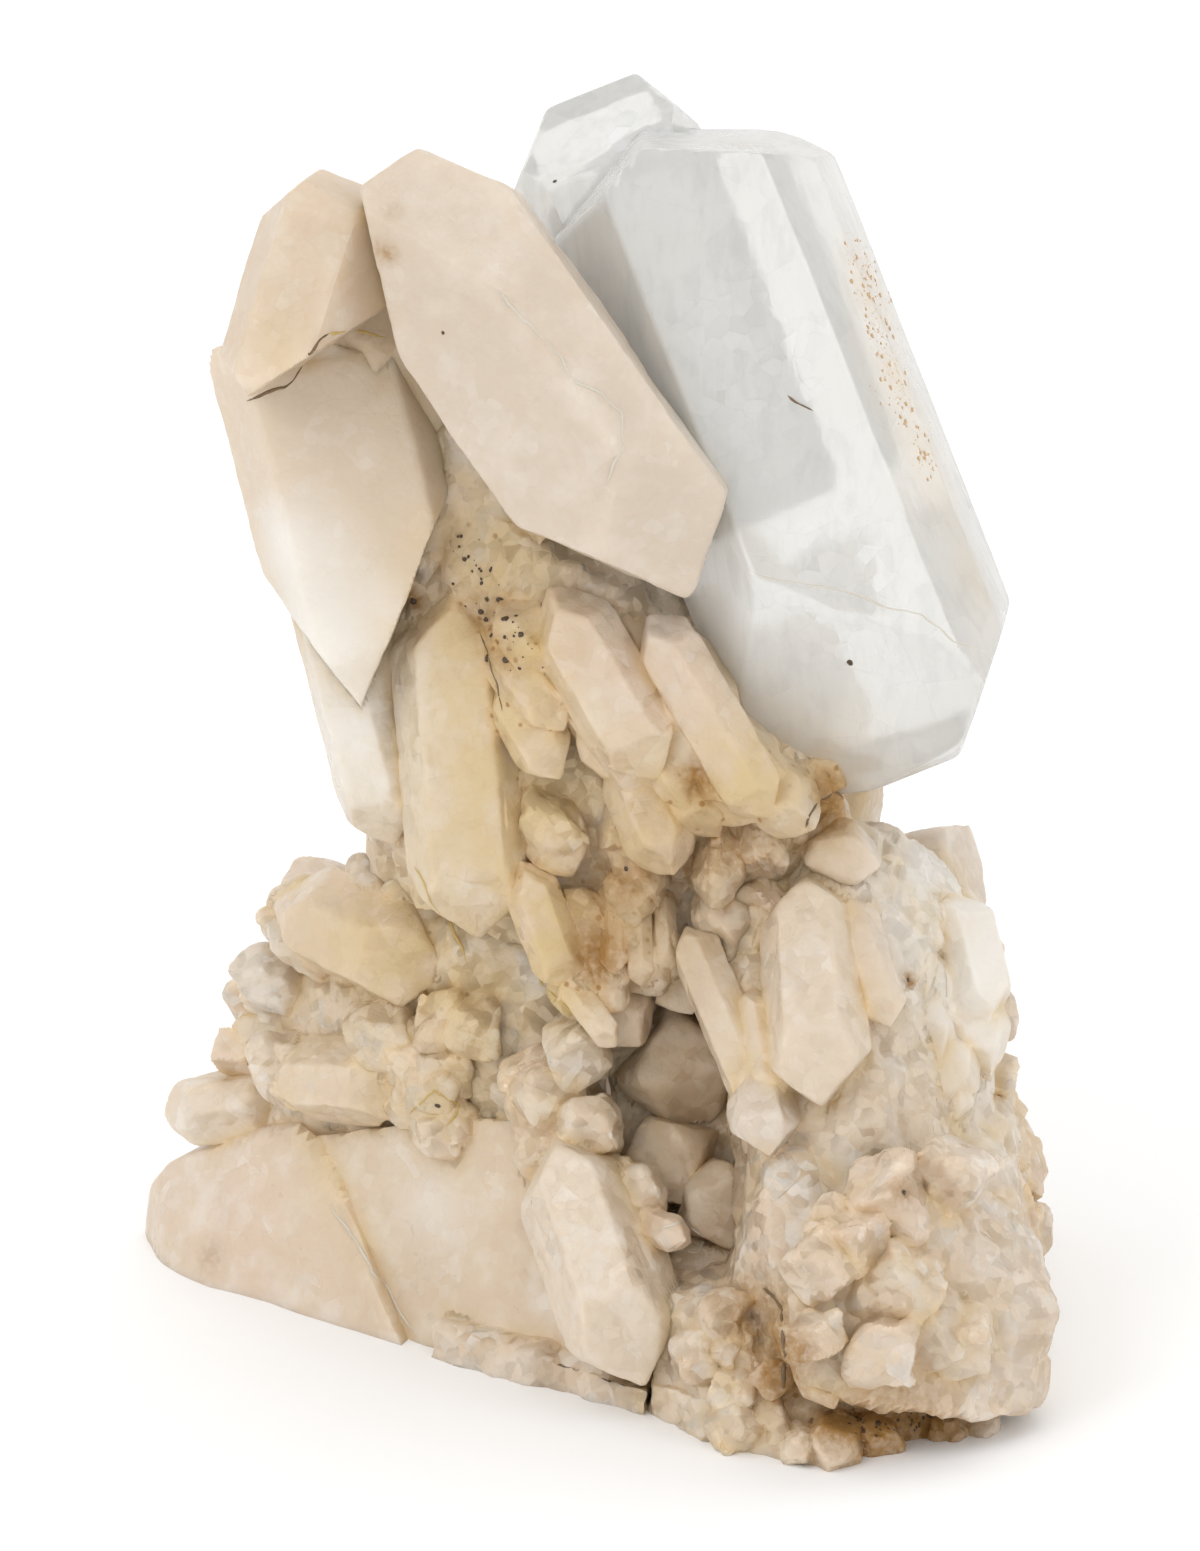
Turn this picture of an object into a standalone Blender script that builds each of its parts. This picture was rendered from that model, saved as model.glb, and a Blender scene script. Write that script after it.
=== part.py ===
"""A quartz crystal cluster, grown as one piece of stone and cut flat underneath.

Every crystal is a block cut by flat faces: six prism faces round its long axis, and sloping faces that
close its ends. The crystals overlap, and are united into one solid that stands on the cut.

Places are given in millimetres as (across, up, back), the way the cluster is seen from the front by
somebody who looks down on it by LOOK_DOWN: across to the right, up in that view, and back from the
front corner of the foot.
"""

import math
import random

import bmesh
import bpy
from mathutils import Matrix, Vector

MM = 0.001
LOOK_DOWN = math.radians(20.0)
MIDDLE_ACROSS = 4.0
MIDDLE_BACK = 42.0

# The slope of a quartz crystal's end faces: their normals stand this far out of the prism's cross-section.
END_SLOPE = 38.2

# The share of a small crystal's length that stands out of the patch it grows from.
SHOWING = 0.5

# How far the blocks of the foot reach below the ground before the cut.
BELOW = -3.0

# The cube that a crystal is cut from, and the block of ground that is cut away, in metres.
BLANK = 0.2
GROUND = 0.4

# Two cut faces of one block are the same place when they lie this near, in metres.
SAME_PLACE = 1e-7

# Faces of a rough block that meet at less than this are one face.
NEARLY_FLAT = math.radians(4.0)

# How much the six sides of an ordinary crystal differ in reach, how far the set-back faces of its points
# lie behind the others and how much that differs, and how thick small crystals are, all as shares.
SIDE_REACH = (0.92, 1.06)
SET_BACK = 0.22
SET_BACK_SPREAD = 0.12
THICKNESS = (0.75, 1.0)

OBJECT_NAME = "quartz_cluster"
CLEAR, MILKY, STAINED = "clear_quartz", "milky_quartz", "stained_quartz"
QUARTZ_IOR = 1.54
# Colour, roughness and transmission of each look.
FINISHES = {
    CLEAR: ((0.68, 0.67, 0.64, 1.0), 0.12, 0.85),
    MILKY: ((0.66, 0.56, 0.46, 1.0), 0.32, 0.25),
    STAINED: ((0.48, 0.36, 0.22, 1.0), 0.45, 0.1),
}

SIDEWAYS = Vector((1.0, 0.0, 0.0))
UPWARDS = Vector((0.0, math.sin(LOOK_DOWN), math.cos(LOOK_DOWN)))
TOWARDS = Vector((0.0, -math.cos(LOOK_DOWN), math.sin(LOOK_DOWN)))


def seen(across, up, back):
    """The world place of a point that is seen at across and up, this far back from the front corner."""
    height = (up - back * math.sin(LOOK_DOWN)) / math.cos(LOOK_DOWN)
    return Vector((across - MIDDLE_ACROSS, back - MIDDLE_BACK, height)) * MM


def standing(across, back, height):
    """The world place of a point by its height over the cut, for what the front doesn't show."""
    return Vector((across - MIDDLE_ACROSS, back - MIDDLE_BACK, height)) * MM


def frame_along(axis):
    """The three directions of a crystal: to its right, towards the front, and along its axis."""
    axis = axis.normalized()
    front = (TOWARDS - axis * TOWARDS.dot(axis)).normalized()
    return Matrix((axis.cross(front), front, axis)).transposed()


def add_block(name, shape, centre, finish, growths):
    """An object of this shape among the growths, to be united with the others."""
    bmesh.ops.recalc_face_normals(shape, faces=shape.faces[:])
    mesh = bpy.data.meshes.new(name)
    shape.to_mesh(mesh)
    shape.free()
    mesh.materials.append(bpy.data.materials[finish])
    block = bpy.data.objects.new(name, mesh)
    block.location = centre
    block.hide_render = True
    block.display_type = "WIRE"
    growths.objects.link(block)
    return block


def rough_block(name, corners, finish, growths):
    """A rough block of massive quartz, spanned by its corners."""
    shape = bmesh.new()
    for corner in corners:
        shape.verts.new(corner)
    bmesh.ops.convex_hull(shape, input=shape.verts[:])
    inside = [vert for vert in shape.verts if not vert.link_faces]
    bmesh.ops.delete(shape, geom=inside, context="VERTS")
    bmesh.ops.dissolve_limit(shape, angle_limit=NEARLY_FLAT, verts=shape.verts[:], edges=shape.edges[:])
    bmesh.ops.triangulate(shape, faces=shape.faces[:])
    return add_block(name, shape, Vector(), finish, growths)


def cut_block(name, centre, frame, faces, finish, growths):
    """A block cut by flat faces. Each face is (facing, slope, reach): its normal is turned by facing from
    the front round the axis and raised by slope towards the tip, and it lies at reach millimetres."""
    shape = bmesh.new()
    bmesh.ops.create_cube(shape, size=BLANK)
    for facing, slope, reach in faces:
        facing, slope = math.radians(facing), math.radians(slope)
        level = math.cos(slope)
        normal = Vector((math.sin(facing) * level, math.cos(facing) * level, math.sin(slope)))
        everything = shape.verts[:] + shape.edges[:] + shape.faces[:]
        found = bmesh.ops.bisect_plane(
            shape,
            geom=everything,
            plane_co=normal * reach * MM,
            plane_no=normal,
            clear_outer=True,
            dist=SAME_PLACE,
        )
        rim = [edge for edge in found["geom_cut"] if isinstance(edge, bmesh.types.BMEdge)]
        if rim:
            bmesh.ops.holes_fill(shape, edges=rim)
    bmesh.ops.transform(shape, matrix=frame.to_4x4(), verts=shape.verts[:])
    return add_block(name, shape, centre, finish, growths)


def crystal(name, tail, tip, wide, thick, finish, growths, turn=0.0):
    """An ordinary crystal from tail to tip, with six sides and a six-sided point at each end. Three of a
    point's faces are set back from the others by an amount drawn for this crystal."""
    chance = random.Random(name)
    length = (tip - tail).length / MM
    faces = []
    for side in range(6):
        facing = turn + 60.0 * side
        across, deep = math.sin(math.radians(facing)), math.cos(math.radians(facing))
        reach = math.hypot(0.5 * wide * across, 0.5 * thick * deep) * chance.uniform(*SIDE_REACH)
        faces.append((facing, 0.0, reach))
        for end in (1, -1):
            least = SET_BACK if (side % 2 == 0) == (end == 1) else 0.0
            step = chance.uniform(least, least + SET_BACK_SPREAD) * min(wide, thick)
            faces.append((facing, end * END_SLOPE, (0.5 * length - step) * math.sin(math.radians(END_SLOPE))))
    return cut_block(name, (tail + tip) / 2, frame_along(tip - tail), faces, finish, growths)


def cut_crystal(name, centre, lean, faces, finish, growths):
    """A large crystal with its own faces. Its top leans this many degrees to the left."""
    lean = math.radians(lean)
    axis = UPWARDS * math.cos(lean) - SIDEWAYS * math.sin(lean)
    return cut_block(name, centre, frame_along(axis), faces, finish, growths)


def grow_clear_crystals(growths):
    """The glassy crystal that fills the upper right, and the one that grew parallel behind its top."""
    cut_crystal("clear_main", seen(19.2, 101.5, 48.0), 21.6, (
        (0.0, 0.0, 11.0), (60.0, 0.0, 12.8), (78.0, 0.0, 13.5), (120.0, 0.0, 17.0),
        (180.0, 0.0, 10.5), (240.0, 0.0, 14.0), (300.0, 0.0, 12.3),
        (70.7, 64.8, 31.7), (78.3, 47.5, 29.1), (280.0, 60.0, 32.2), (180.0, 50.0, 31.0),
        (332.1, -29.6, 16.4), (0.0, -78.0, 32.3), (90.0, -40.0, 25.2), (180.0, -45.0, 26.0),
    ), CLEAR, growths)
    cut_crystal("clear_behind", seen(5.5, 119.8, 60.9), 21.6, (
        (0.0, 0.0, 6.0), (60.0, 0.0, 8.6), (120.0, 0.0, 8.6), (180.0, 0.0, 6.0),
        (240.0, 0.0, 8.8), (300.0, 0.0, 8.8),
        (270.0, 43.6, 16.5), (90.0, 29.0, 14.8), (0.0, 85.0, 20.2), (0.0, 45.0, 12.9), (180.0, 45.0, 15.5),
        (0.0, -60.0, 24.0), (180.0, -38.2, 15.0),
    ), CLEAR, growths)


def grow_cream_crystals(growths):
    """The three large milky crystals of the upper left."""
    cut_crystal("diagonal", seen(-6.4, 108.9, 37.5), 35.0, (
        (25.0, 0.0, 9.0), (85.0, 0.0, 9.6), (145.0, 0.0, 9.0), (205.0, 0.0, 8.5), (265.0, 0.0, 9.6),
        (325.0, 0.0, 5.3),
        (270.0, 22.0, 12.6), (90.0, 33.0, 17.5), (180.0, 80.0, 25.4), (5.0, 20.0, 11.1), (180.0, 38.2, 19.0),
        (90.0, -53.8, 21.5), (270.0, -32.0, 13.6), (0.0, -35.0, 13.0), (180.0, -38.2, 18.0),
    ), MILKY, growths)
    cut_crystal("left_upper", seen(-29.5, 118.7, 47.0), -17.2, (
        (345.0, 0.0, 6.0), (45.0, 0.0, 7.0), (105.0, 0.0, 8.5), (165.0, 0.0, 7.0), (225.0, 0.0, 6.5),
        (285.0, 0.0, 5.3),
        (270.0, 35.0, 8.4), (20.0, 72.0, 10.4), (345.0, 38.2, 9.5), (180.0, 38.2, 9.5),
        (270.0, -53.0, 10.8), (90.0, -39.5, 6.1), (180.0, -38.2, 9.0),
    ), MILKY, growths)
    cut_crystal("left_lower", seen(-25.5, 91.7, 50.0), 14.0, (
        (355.0, 0.0, 6.5), (60.0, 0.0, 12.0), (115.0, 0.0, 12.0), (175.0, 0.0, 7.0), (235.0, 0.0, 8.0),
        (295.0, 0.0, 7.0),
        (0.0, 60.0, 20.5), (180.0, 45.0, 17.0),
        (90.0, -36.0, 7.1), (270.0, -22.7, 7.6), (0.0, -38.2, 11.0), (180.0, -38.2, 11.0),
    ), MILKY, growths)


# The middle-sized crystals that are seen from the front: name, tail, tip, width, thickness, turn, finish.
FRONT_CRYSTALS = (
    ("hanging", (-15.5, 94.0, 52.0), (-11.9, 50.4, 38.5), 11.4, 10.5, 5.0, MILKY),
    ("left_band", (-29.5, 98.0, 55.0), (-19.8, 60.5, 47.0), 8.5, 9.0, 20.0, MILKY),
    ("left_backing", (-10.0, 72.0, 60.0), (-23.0, 121.0, 59.0), 17.0, 13.0, 12.0, MILKY),
    ("middle_backing", (2.0, 70.0, 60.0), (-6.0, 122.0, 60.0), 18.0, 15.0, 20.0, MILKY),
    ("right_backing", (10.0, 60.0, 58.0), (27.0, 98.0, 64.0), 15.0, 13.0, 5.0, MILKY),
    ("under_diagonal", (-6.5, 91.0, 42.0), (6.8, 68.0, 34.5), 8.4, 8.0, 10.0, MILKY),
    ("under_clear", (4.0, 88.0, 40.0), (17.8, 64.3, 33.0), 6.2, 6.0, 25.0, MILKY),
    ("small_yellow", (-8.5, 63.0, 39.0), (-2.6, 47.2, 35.0), 5.0, 5.0, 0.0, STAINED),
    ("small_light", (-4.0, 50.5, 36.5), (2.0, 42.4, 31.0), 2.8, 2.8, 30.0, MILKY),
    ("yellow_block", (-34.5, 59.0, 62.0), (-13.0, 49.0, 45.0), 10.0, 12.0, 25.0, STAINED),
    ("level_crystal", (-34.5, 39.8, 58.0), (-16.5, 38.8, 45.0), 7.6, 9.0, 10.0, MILKY),
    ("left_end", (-28.0, 38.0, 60.0), (-46.0, 35.4, 67.0), 6.6, 9.0, 20.0, MILKY),
    ("left_shoulder", (-34.0, 38.0, 61.0), (-39.3, 46.4, 64.0), 6.5, 8.0, 0.0, MILKY),
    ("left_cap", (-32.0, 45.0, 60.0), (-35.6, 53.2, 65.0), 5.6, 7.0, 15.0, MILKY),
    ("lower_middle", (-5.5, 38.0, 38.0), (5.4, 6.3, 14.5), 11.5, 12.0, 5.0, MILKY),
    ("end_on", (3.0, 26.0, 30.0), (9.0, 23.6, 20.0), 3.4, 3.0, 0.0, MILKY),
    ("small_tip", (8.5, 73.0, 40.0), (13.6, 66.8, 33.0), 3.6, 3.6, 0.0, MILKY),
    ("knob", (18.5, 64.0, 44.0), (29.5, 60.5, 36.0), 6.0, 8.0, 15.0, STAINED),
    ("olive_knob", (11.0, 76.0, 44.0), (19.5, 67.5, 35.0), 6.0, 6.0, 20.0, STAINED),
    ("olive_side", (19.0, 76.0, 46.0), (25.5, 67.6, 38.0), 5.6, 5.5, 40.0, STAINED),
    ("olive_end", (25.0, 76.0, 50.0), (29.4, 68.8, 43.0), 5.0, 5.0, 10.0, STAINED),
    ("throat_left", (0.0, 51.0, 42.0), (4.6, 41.6, 34.0), 6.4, 6.0, 30.0, MILKY),
    ("throat_middle", (6.5, 53.0, 42.0), (9.6, 44.8, 35.0), 6.0, 6.0, 15.0, MILKY),
    ("throat_right", (13.0, 52.0, 42.0), (14.6, 41.0, 34.0), 5.0, 5.0, 0.0, MILKY),
    ("smoky_back", (6.0, 52.0, 47.0), (10.0, 31.0, 38.0), 13.0, 10.0, 0.0, STAINED),
    ("slot_block", (5.0, 38.0, 44.0), (9.5, 25.0, 30.0), 10.0, 9.0, 20.0, MILKY),
    ("slot_low", (11.0, 33.0, 40.0), (14.0, 21.0, 25.0), 9.0, 8.0, 10.0, MILKY),
    ("long_a", (8.0, 56.5, 38.0), (16.8, 35.5, 23.0), 4.6, 5.0, 20.0, MILKY),
    ("long_b", (20.5, 62.5, 42.0), (22.2, 34.6, 17.0), 9.4, 9.0, 8.0, MILKY),
    ("long_c", (24.5, 59.0, 38.0), (29.2, 43.8, 25.0), 4.2, 4.5, 0.0, MILKY),
    ("white_lump", (28.0, 52.0, 50.0), (36.6, 61.0, 56.0), 9.6, 9.0, 12.0, MILKY),
    ("white_shoulder", (30.0, 60.0, 54.0), (39.6, 49.0, 58.0), 8.6, 9.0, 35.0, MILKY),
    ("fin", (18.0, 19.0, 14.0), (23.8, 6.2, 3.5), 4.2, 4.0, 0.0, MILKY),
    ("toe", (24.0, 6.0, 14.0), (22.5, 1.0, 0.5), 6.0, 5.0, 0.0, STAINED),
)

# Crystals that are hidden from the front. Their tails and tips are (across, back, height).
BACK_CRYSTALS = (
    ("back_upper_left", (-11.0, 60.0, 58.0), (-21.5, 56.0, 114.0), 17.0, 13.0, 10.0, MILKY),
    ("back_upper_middle", (0.0, 62.0, 52.0), (-9.0, 60.0, 112.0), 16.0, 15.0, 25.0, MILKY),
    ("back_tall", (-6.0, 62.0, 16.0), (-12.0, 80.0, 62.0), 16.0, 15.0, 5.0, MILKY),
    ("back_right_tall", (14.0, 60.0, 16.0), (24.0, 80.0, 58.0), 15.0, 13.0, 15.0, MILKY),
    ("back_middle", (2.0, 62.0, 8.0), (2.0, 84.0, 36.0), 14.0, 13.0, 0.0, MILKY),
    ("back_left_low", (-12.0, 60.0, 8.0), (-30.0, 78.0, 26.0), 14.0, 13.0, 20.0, MILKY),
)

# The massive quartz that the crystals stand on. A corner is (across, up, back) as it is seen from the front;
# a corner of the foot lies on the cut and is (across, back).
ROUGH_BLOCKS = (
    ("slab_left", MILKY, (
        (-43.7, 31.2, 65.0), (-46.2, 27.7, 70.0), (-27.6, 33.0, 52.0), (-30.0, 35.0, 54.0), (-34.0, 36.0, 74.0),
    ), (
        (-46.5, 70.0), (-45.2, 60.0), (-41.6, 54.4), (-28.6, 43.9), (-18.4, 34.5), (-36.0, 80.0), (-12.0, 60.0),
    )),
    ("slab_right", MILKY, (
        (-30.0, 34.0, 54.0), (-14.0, 36.0, 43.0), (-2.0, 35.0, 36.0), (4.0, 29.0, 31.0), (0.0, 36.0, 60.0),
    ), ((-21.0, 39.5), (-1.0, 25.0), (5.0, 20.5), (-20.0, 66.0), (12.0, 50.0))),
    ("slab_ledge", MILKY, (
        (-17.0, 15.0, 35.5), (-1.0, 10.6, 23.6), (5.0, 8.6, 18.0), (-10.0, 18.0, 44.0), (6.0, 14.0, 34.0),
    ), ((-17.5, 33.8), (-1.0, 21.9), (4.0, 17.0), (-10.0, 44.0), (8.0, 34.0))),
    ("back_foot", MILKY, (
        (-30.0, 44.0, 78.0), (-20.0, 57.0, 70.0), (0.0, 60.0, 72.0), (24.0, 60.0, 70.0), (0.0, 52.0, 56.0),
    ), ((-36.0, 80.0), (0.0, 84.0), (30.0, 78.0), (-20.0, 60.0), (20.0, 60.0))),
    ("left_hill", STAINED, (
        (-34.0, 44.0, 66.0), (-31.3, 56.5, 63.0), (-28.9, 59.0, 62.0), (-23.0, 60.0, 54.0), (-15.0, 52.0, 46.0),
        (-12.0, 38.0, 43.0), (-32.5, 38.0, 58.0), (-34.0, 50.0, 78.0), (-4.0, 60.0, 74.0), (0.0, 50.0, 40.0),
        (2.0, 38.0, 36.0),
    ), ((-38.0, 64.0), (-30.0, 80.0), (-10.0, 46.0), (4.0, 40.0), (4.0, 78.0))),
    ("right_low", MILKY, (
        (41.0, 28.0, 26.0), (40.4, 36.0, 36.0), (41.0, 42.0, 56.0), (16.0, 32.0, 18.0), (19.0, 20.0, 12.0),
        (20.0, 36.0, 76.0), (36.0, 40.0, 74.0),
    ), (
        (18.0, 9.0), (26.0, 8.0), (33.0, 10.0), (38.6, 14.0), (42.5, 18.4), (46.0, 40.0), (44.0, 68.0),
        (22.0, 82.0), (8.0, 20.0),
    )),
    ("right_hill", MILKY, (
        (38.6, 52.5, 46.0), (35.2, 60.0, 50.0), (31.0, 65.0, 48.0), (24.0, 66.5, 42.0), (17.0, 62.0, 42.0),
        (11.5, 50.0, 35.0), (15.5, 38.0, 24.0), (38.4, 45.0, 40.0), (40.0, 37.0, 36.0), (36.0, 60.0, 66.0),
        (18.0, 64.0, 68.0), (28.0, 36.0, 20.0),
    ), ((16.0, 16.0), (38.0, 22.0), (42.0, 60.0), (16.0, 76.0))),
    ("right_block", MILKY, (
        (27.4, 7.4, 4.0), (35.0, 6.4, 6.5), (40.5, 6.0, 10.0), (43.6, 7.4, 15.0), (45.9, 15.6, 17.0),
        (46.2, 16.6, 18.0), (43.6, 18.6, 20.0), (41.6, 28.0, 28.0), (32.0, 30.0, 14.0), (22.0, 28.0, 10.0),
        (18.6, 19.0, 7.0), (20.0, 9.5, 3.5), (24.0, 24.0, 40.0), (40.0, 14.0, 40.0),
    ), ()),
    ("middle_foot", MILKY, (
        (6.0, 18.0, 20.0), (14.0, 16.0, 14.0), (6.0, 30.0, 44.0), (18.0, 30.0, 44.0),
    ), ((4.0, 17.0), (10.0, 11.0), (18.0, 4.0), (22.0, 2.5), (8.0, 60.0), (24.0, 50.0))),
    ("neck", STAINED, (
        (-23.0, 60.0, 54.0), (-24.0, 71.5, 53.0), (-24.0, 80.0, 53.0), (-17.0, 88.0, 48.0), (-14.0, 100.0, 49.0),
        (-5.0, 92.0, 44.0), (5.0, 86.0, 42.0), (14.0, 72.0, 38.0), (23.5, 69.0, 38.0), (27.0, 64.0, 42.0),
        (16.0, 56.0, 40.0), (8.0, 48.0, 40.0), (-4.0, 55.0, 41.0), (-18.0, 56.0, 46.0), (-12.0, 58.0, 42.0),
        (-20.0, 70.0, 68.0), (0.0, 74.0, 72.0), (22.0, 74.0, 66.0), (-14.0, 96.0, 60.0), (12.0, 94.0, 58.0),
    ), ()),
    ("recess", STAINED, (
        (-13.0, 106.0, 50.0), (-22.0, 92.0, 50.0), (-4.0, 94.0, 45.0), (-8.0, 112.0, 54.0), (-24.0, 100.0, 54.0),
        (-16.0, 84.0, 48.0), (-8.0, 100.0, 62.0), (-20.0, 88.0, 62.0),
    ), ()),
    ("core", STAINED, (
        (-14.0, 45.0, 44.0), (10.0, 44.0, 40.0), (24.0, 50.0, 44.0), (-17.0, 66.0, 64.0), (20.0, 68.0, 66.0),
    ), ((-10.0, 44.0), (10.0, 34.0), (26.0, 40.0), (24.0, 66.0), (-20.0, 70.0))),
)


# Groups of small crystals that grow out of a patch of the rough quartz: name, finish, how many, the four
# corners of the patch (across, up, back), where they point (right, up, towards the front), how far they
# scatter, their lengths and their widths.
FRONT_GROUPS = (
    ("neck_druse", MILKY, 16,
     ((-13.0, 86.0, 43.0), (8.0, 84.0, 41.0), (-4.0, 64.0, 39.5), (18.0, 68.0, 37.0)),
     (0.6, -0.9, 0.2), 0.25, (13.0, 21.0), (5.0, 7.5)),
    ("throat_druse", STAINED, 12,
     ((-8.0, 66.0, 41.0), (20.0, 66.0, 39.0), (-2.0, 48.0, 37.0), (10.0, 52.0, 38.0)),
     (0.2, -0.9, 0.35), 0.4, (10.0, 16.0), (4.5, 6.5)),
    ("left_top_druse", STAINED, 10,
     ((-33.0, 46.0, 62.0), (-14.0, 52.0, 46.0), (-32.0, 56.0, 62.0), (-16.0, 58.0, 52.0)),
     (0.7, -0.5, 0.3), 0.35, (12.0, 18.0), (6.0, 9.0)),
    ("left_face_druse", MILKY, 16,
     ((-34.0, 35.0, 58.0), (0.0, 33.0, 32.5), (-32.0, 45.0, 56.0), (0.0, 47.0, 36.0)),
     (0.6, -0.6, 0.35), 0.4, (11.0, 17.0), (6.0, 9.0)),
    ("left_edge_druse", MILKY, 7,
     ((-36.0, 30.0, 68.0), (-36.0, 30.0, 62.0), (-33.0, 54.0, 68.0), (-30.0, 57.0, 62.0)),
     (-0.8, 0.3, 0.1), 0.4, (10.0, 14.0), (6.0, 9.0)),
    ("right_top_druse", MILKY, 12,
     ((13.0, 52.0, 36.0), (36.0, 52.0, 44.0), (17.0, 63.0, 42.0), (33.0, 61.0, 46.0)),
     (0.1, -0.9, 0.4), 0.4, (10.0, 15.0), (5.0, 7.5)),
    ("right_front_druse", MILKY, 14,
     ((16.0, 36.0, 22.0), (38.0, 36.0, 34.0), (15.0, 50.0, 33.0), (37.0, 52.0, 42.0)),
     (0.1, -0.9, 0.35), 0.3, (13.0, 20.0), (5.0, 8.0)),
    ("right_flank_druse", MILKY, 14,
     ((39.5, 26.0, 30.0), (43.5, 22.0, 50.0), (36.5, 57.0, 48.0), (36.5, 54.0, 62.0)),
     (0.6, -0.6, 0.2), 0.4, (9.0, 14.0), (5.5, 8.5)),
    ("right_low_druse", MILKY, 10,
     ((21.0, 12.0, 1.5), (42.0, 12.0, 12.0), (18.0, 30.0, 9.0), (39.0, 32.0, 20.0)),
     (0.3, -0.5, 0.35), 0.6, (12.0, 18.0), (9.0, 14.0)),
    ("rim_druse", STAINED, 9,
     ((20.0, 3.0, 6.0), (38.0, 5.0, 14.0), (20.0, 4.0, 9.0), (38.0, 6.0, 17.0)),
     (0.3, -0.3, 0.6), 0.5, (8.0, 11.0), (3.6, 5.4)),
    ("knob_druse", STAINED, 9,
     ((9.0, 6.0, 14.0), (18.0, 3.0, 7.0), (10.0, 17.0, 18.0), (18.0, 17.0, 14.0)),
     (-0.1, -0.3, 0.6), 0.5, (8.0, 12.0), (4.5, 6.5)),
    ("slab_druse", MILKY, 8,
     ((-10.0, 26.0, 38.0), (4.0, 22.0, 26.0), (-6.0, 33.0, 37.0), (4.0, 32.0, 30.0)),
     (0.3, -0.8, 0.3), 0.4, (9.0, 14.0), (4.5, 7.0)),
)

# The same on the sides that are turned away. These patches' corners are (across, back, height), and the
# directions are (right, back, up).
BACK_GROUPS = (
    ("back_left_druse", MILKY, 10,
     ((-38.0, 78.0, 6.0), (-4.0, 80.0, 6.0), (-30.0, 74.0, 34.0), (-4.0, 72.0, 40.0)),
     (-0.3, 0.5, 0.8), 0.4, (18.0, 30.0), (9.0, 14.0)),
    ("back_right_druse", MILKY, 10,
     ((4.0, 79.0, 6.0), (38.0, 70.0, 6.0), (10.0, 70.0, 44.0), (34.0, 64.0, 44.0)),
     (0.4, 0.5, 0.7), 0.4, (18.0, 30.0), (9.0, 14.0)),
    ("back_neck_druse", MILKY, 10,
     ((-18.0, 64.0, 44.0), (20.0, 62.0, 46.0), (-12.0, 58.0, 76.0), (12.0, 56.0, 78.0)),
     (0.0, 0.5, 0.9), 0.45, (22.0, 34.0), (9.0, 13.0)),
)


def grow_group(name, count, patch, pointing, scatter, lengths, widths, finish, growths):
    """Crystals that stand on a patch, each drawn from its own place, direction and size."""
    chance = random.Random(name)
    for number in range(count):
        right, rise = chance.random(), chance.random()
        low = patch[0].lerp(patch[1], right)
        foot = low.lerp(patch[2].lerp(patch[3], right), rise)
        stray = Vector([chance.uniform(-scatter, scatter) for _ in range(3)])
        axis = (pointing.normalized() + stray).normalized()
        length, wide = chance.uniform(*lengths) * MM, chance.uniform(*widths)
        tail, tip = foot - axis * (1.0 - SHOWING) * length, foot + axis * SHOWING * length
        thick, turn = wide * chance.uniform(*THICKNESS), chance.uniform(0.0, 60.0)
        crystal(f"{name}_{number:02d}", tail, tip, wide, thick, finish, growths, turn)


def make_finishes():
    """One Principled material for each of the three looks of the quartz."""
    for name, (colour, roughness, transmission) in FINISHES.items():
        finish = bpy.data.materials.new(name)
        finish.use_nodes = True
        shader = finish.node_tree.nodes["Principled BSDF"]
        shader.inputs["Base Color"].default_value = colour
        shader.inputs["Roughness"].default_value = roughness
        shader.inputs["Metallic"].default_value = 0.0
        shader.inputs["IOR"].default_value = QUARTZ_IOR
        shader.inputs["Transmission Weight"].default_value = transmission
        finish.diffuse_color = colour


def new_collection(name):
    """A collection of this name, in the scene."""
    collection = bpy.data.collections.new(name)
    bpy.context.scene.collection.children.link(collection)
    return collection


def ground_block():
    """The block of ground under the cut, which is taken away from the cluster."""
    shape = bmesh.new()
    bmesh.ops.create_cube(shape, size=GROUND)
    bmesh.ops.translate(shape, verts=shape.verts[:], vec=(0.0, 0.0, -GROUND / 2))
    mesh = bpy.data.meshes.new("ground")
    shape.to_mesh(mesh)
    shape.free()
    cutter = bpy.data.objects.new("ground", mesh)
    cutter.hide_render = True
    cutter.display_type = "WIRE"
    new_collection("ground").objects.link(cutter)
    return cutter


def keep_outer_skin(mesh):
    """Deletes what the union leaves inside the stone or beside it: every closed surface but the largest."""
    shape = bmesh.new()
    shape.from_mesh(mesh)
    shape.verts.ensure_lookup_table()
    left, skins = set(shape.verts), []
    while left:
        skin, edge = set(), [next(iter(left))]
        while edge:
            vert = edge.pop()
            if vert in left:
                left.discard(vert)
                skin.add(vert)
                edge += [side.other_vert(vert) for side in vert.link_edges]
        skins.append(skin)
    outer = max(skins, key=len)
    bmesh.ops.delete(shape, geom=[vert for vert in shape.verts if vert not in outer], context="VERTS")
    shape.to_mesh(mesh)
    shape.free()
    return mesh


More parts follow.
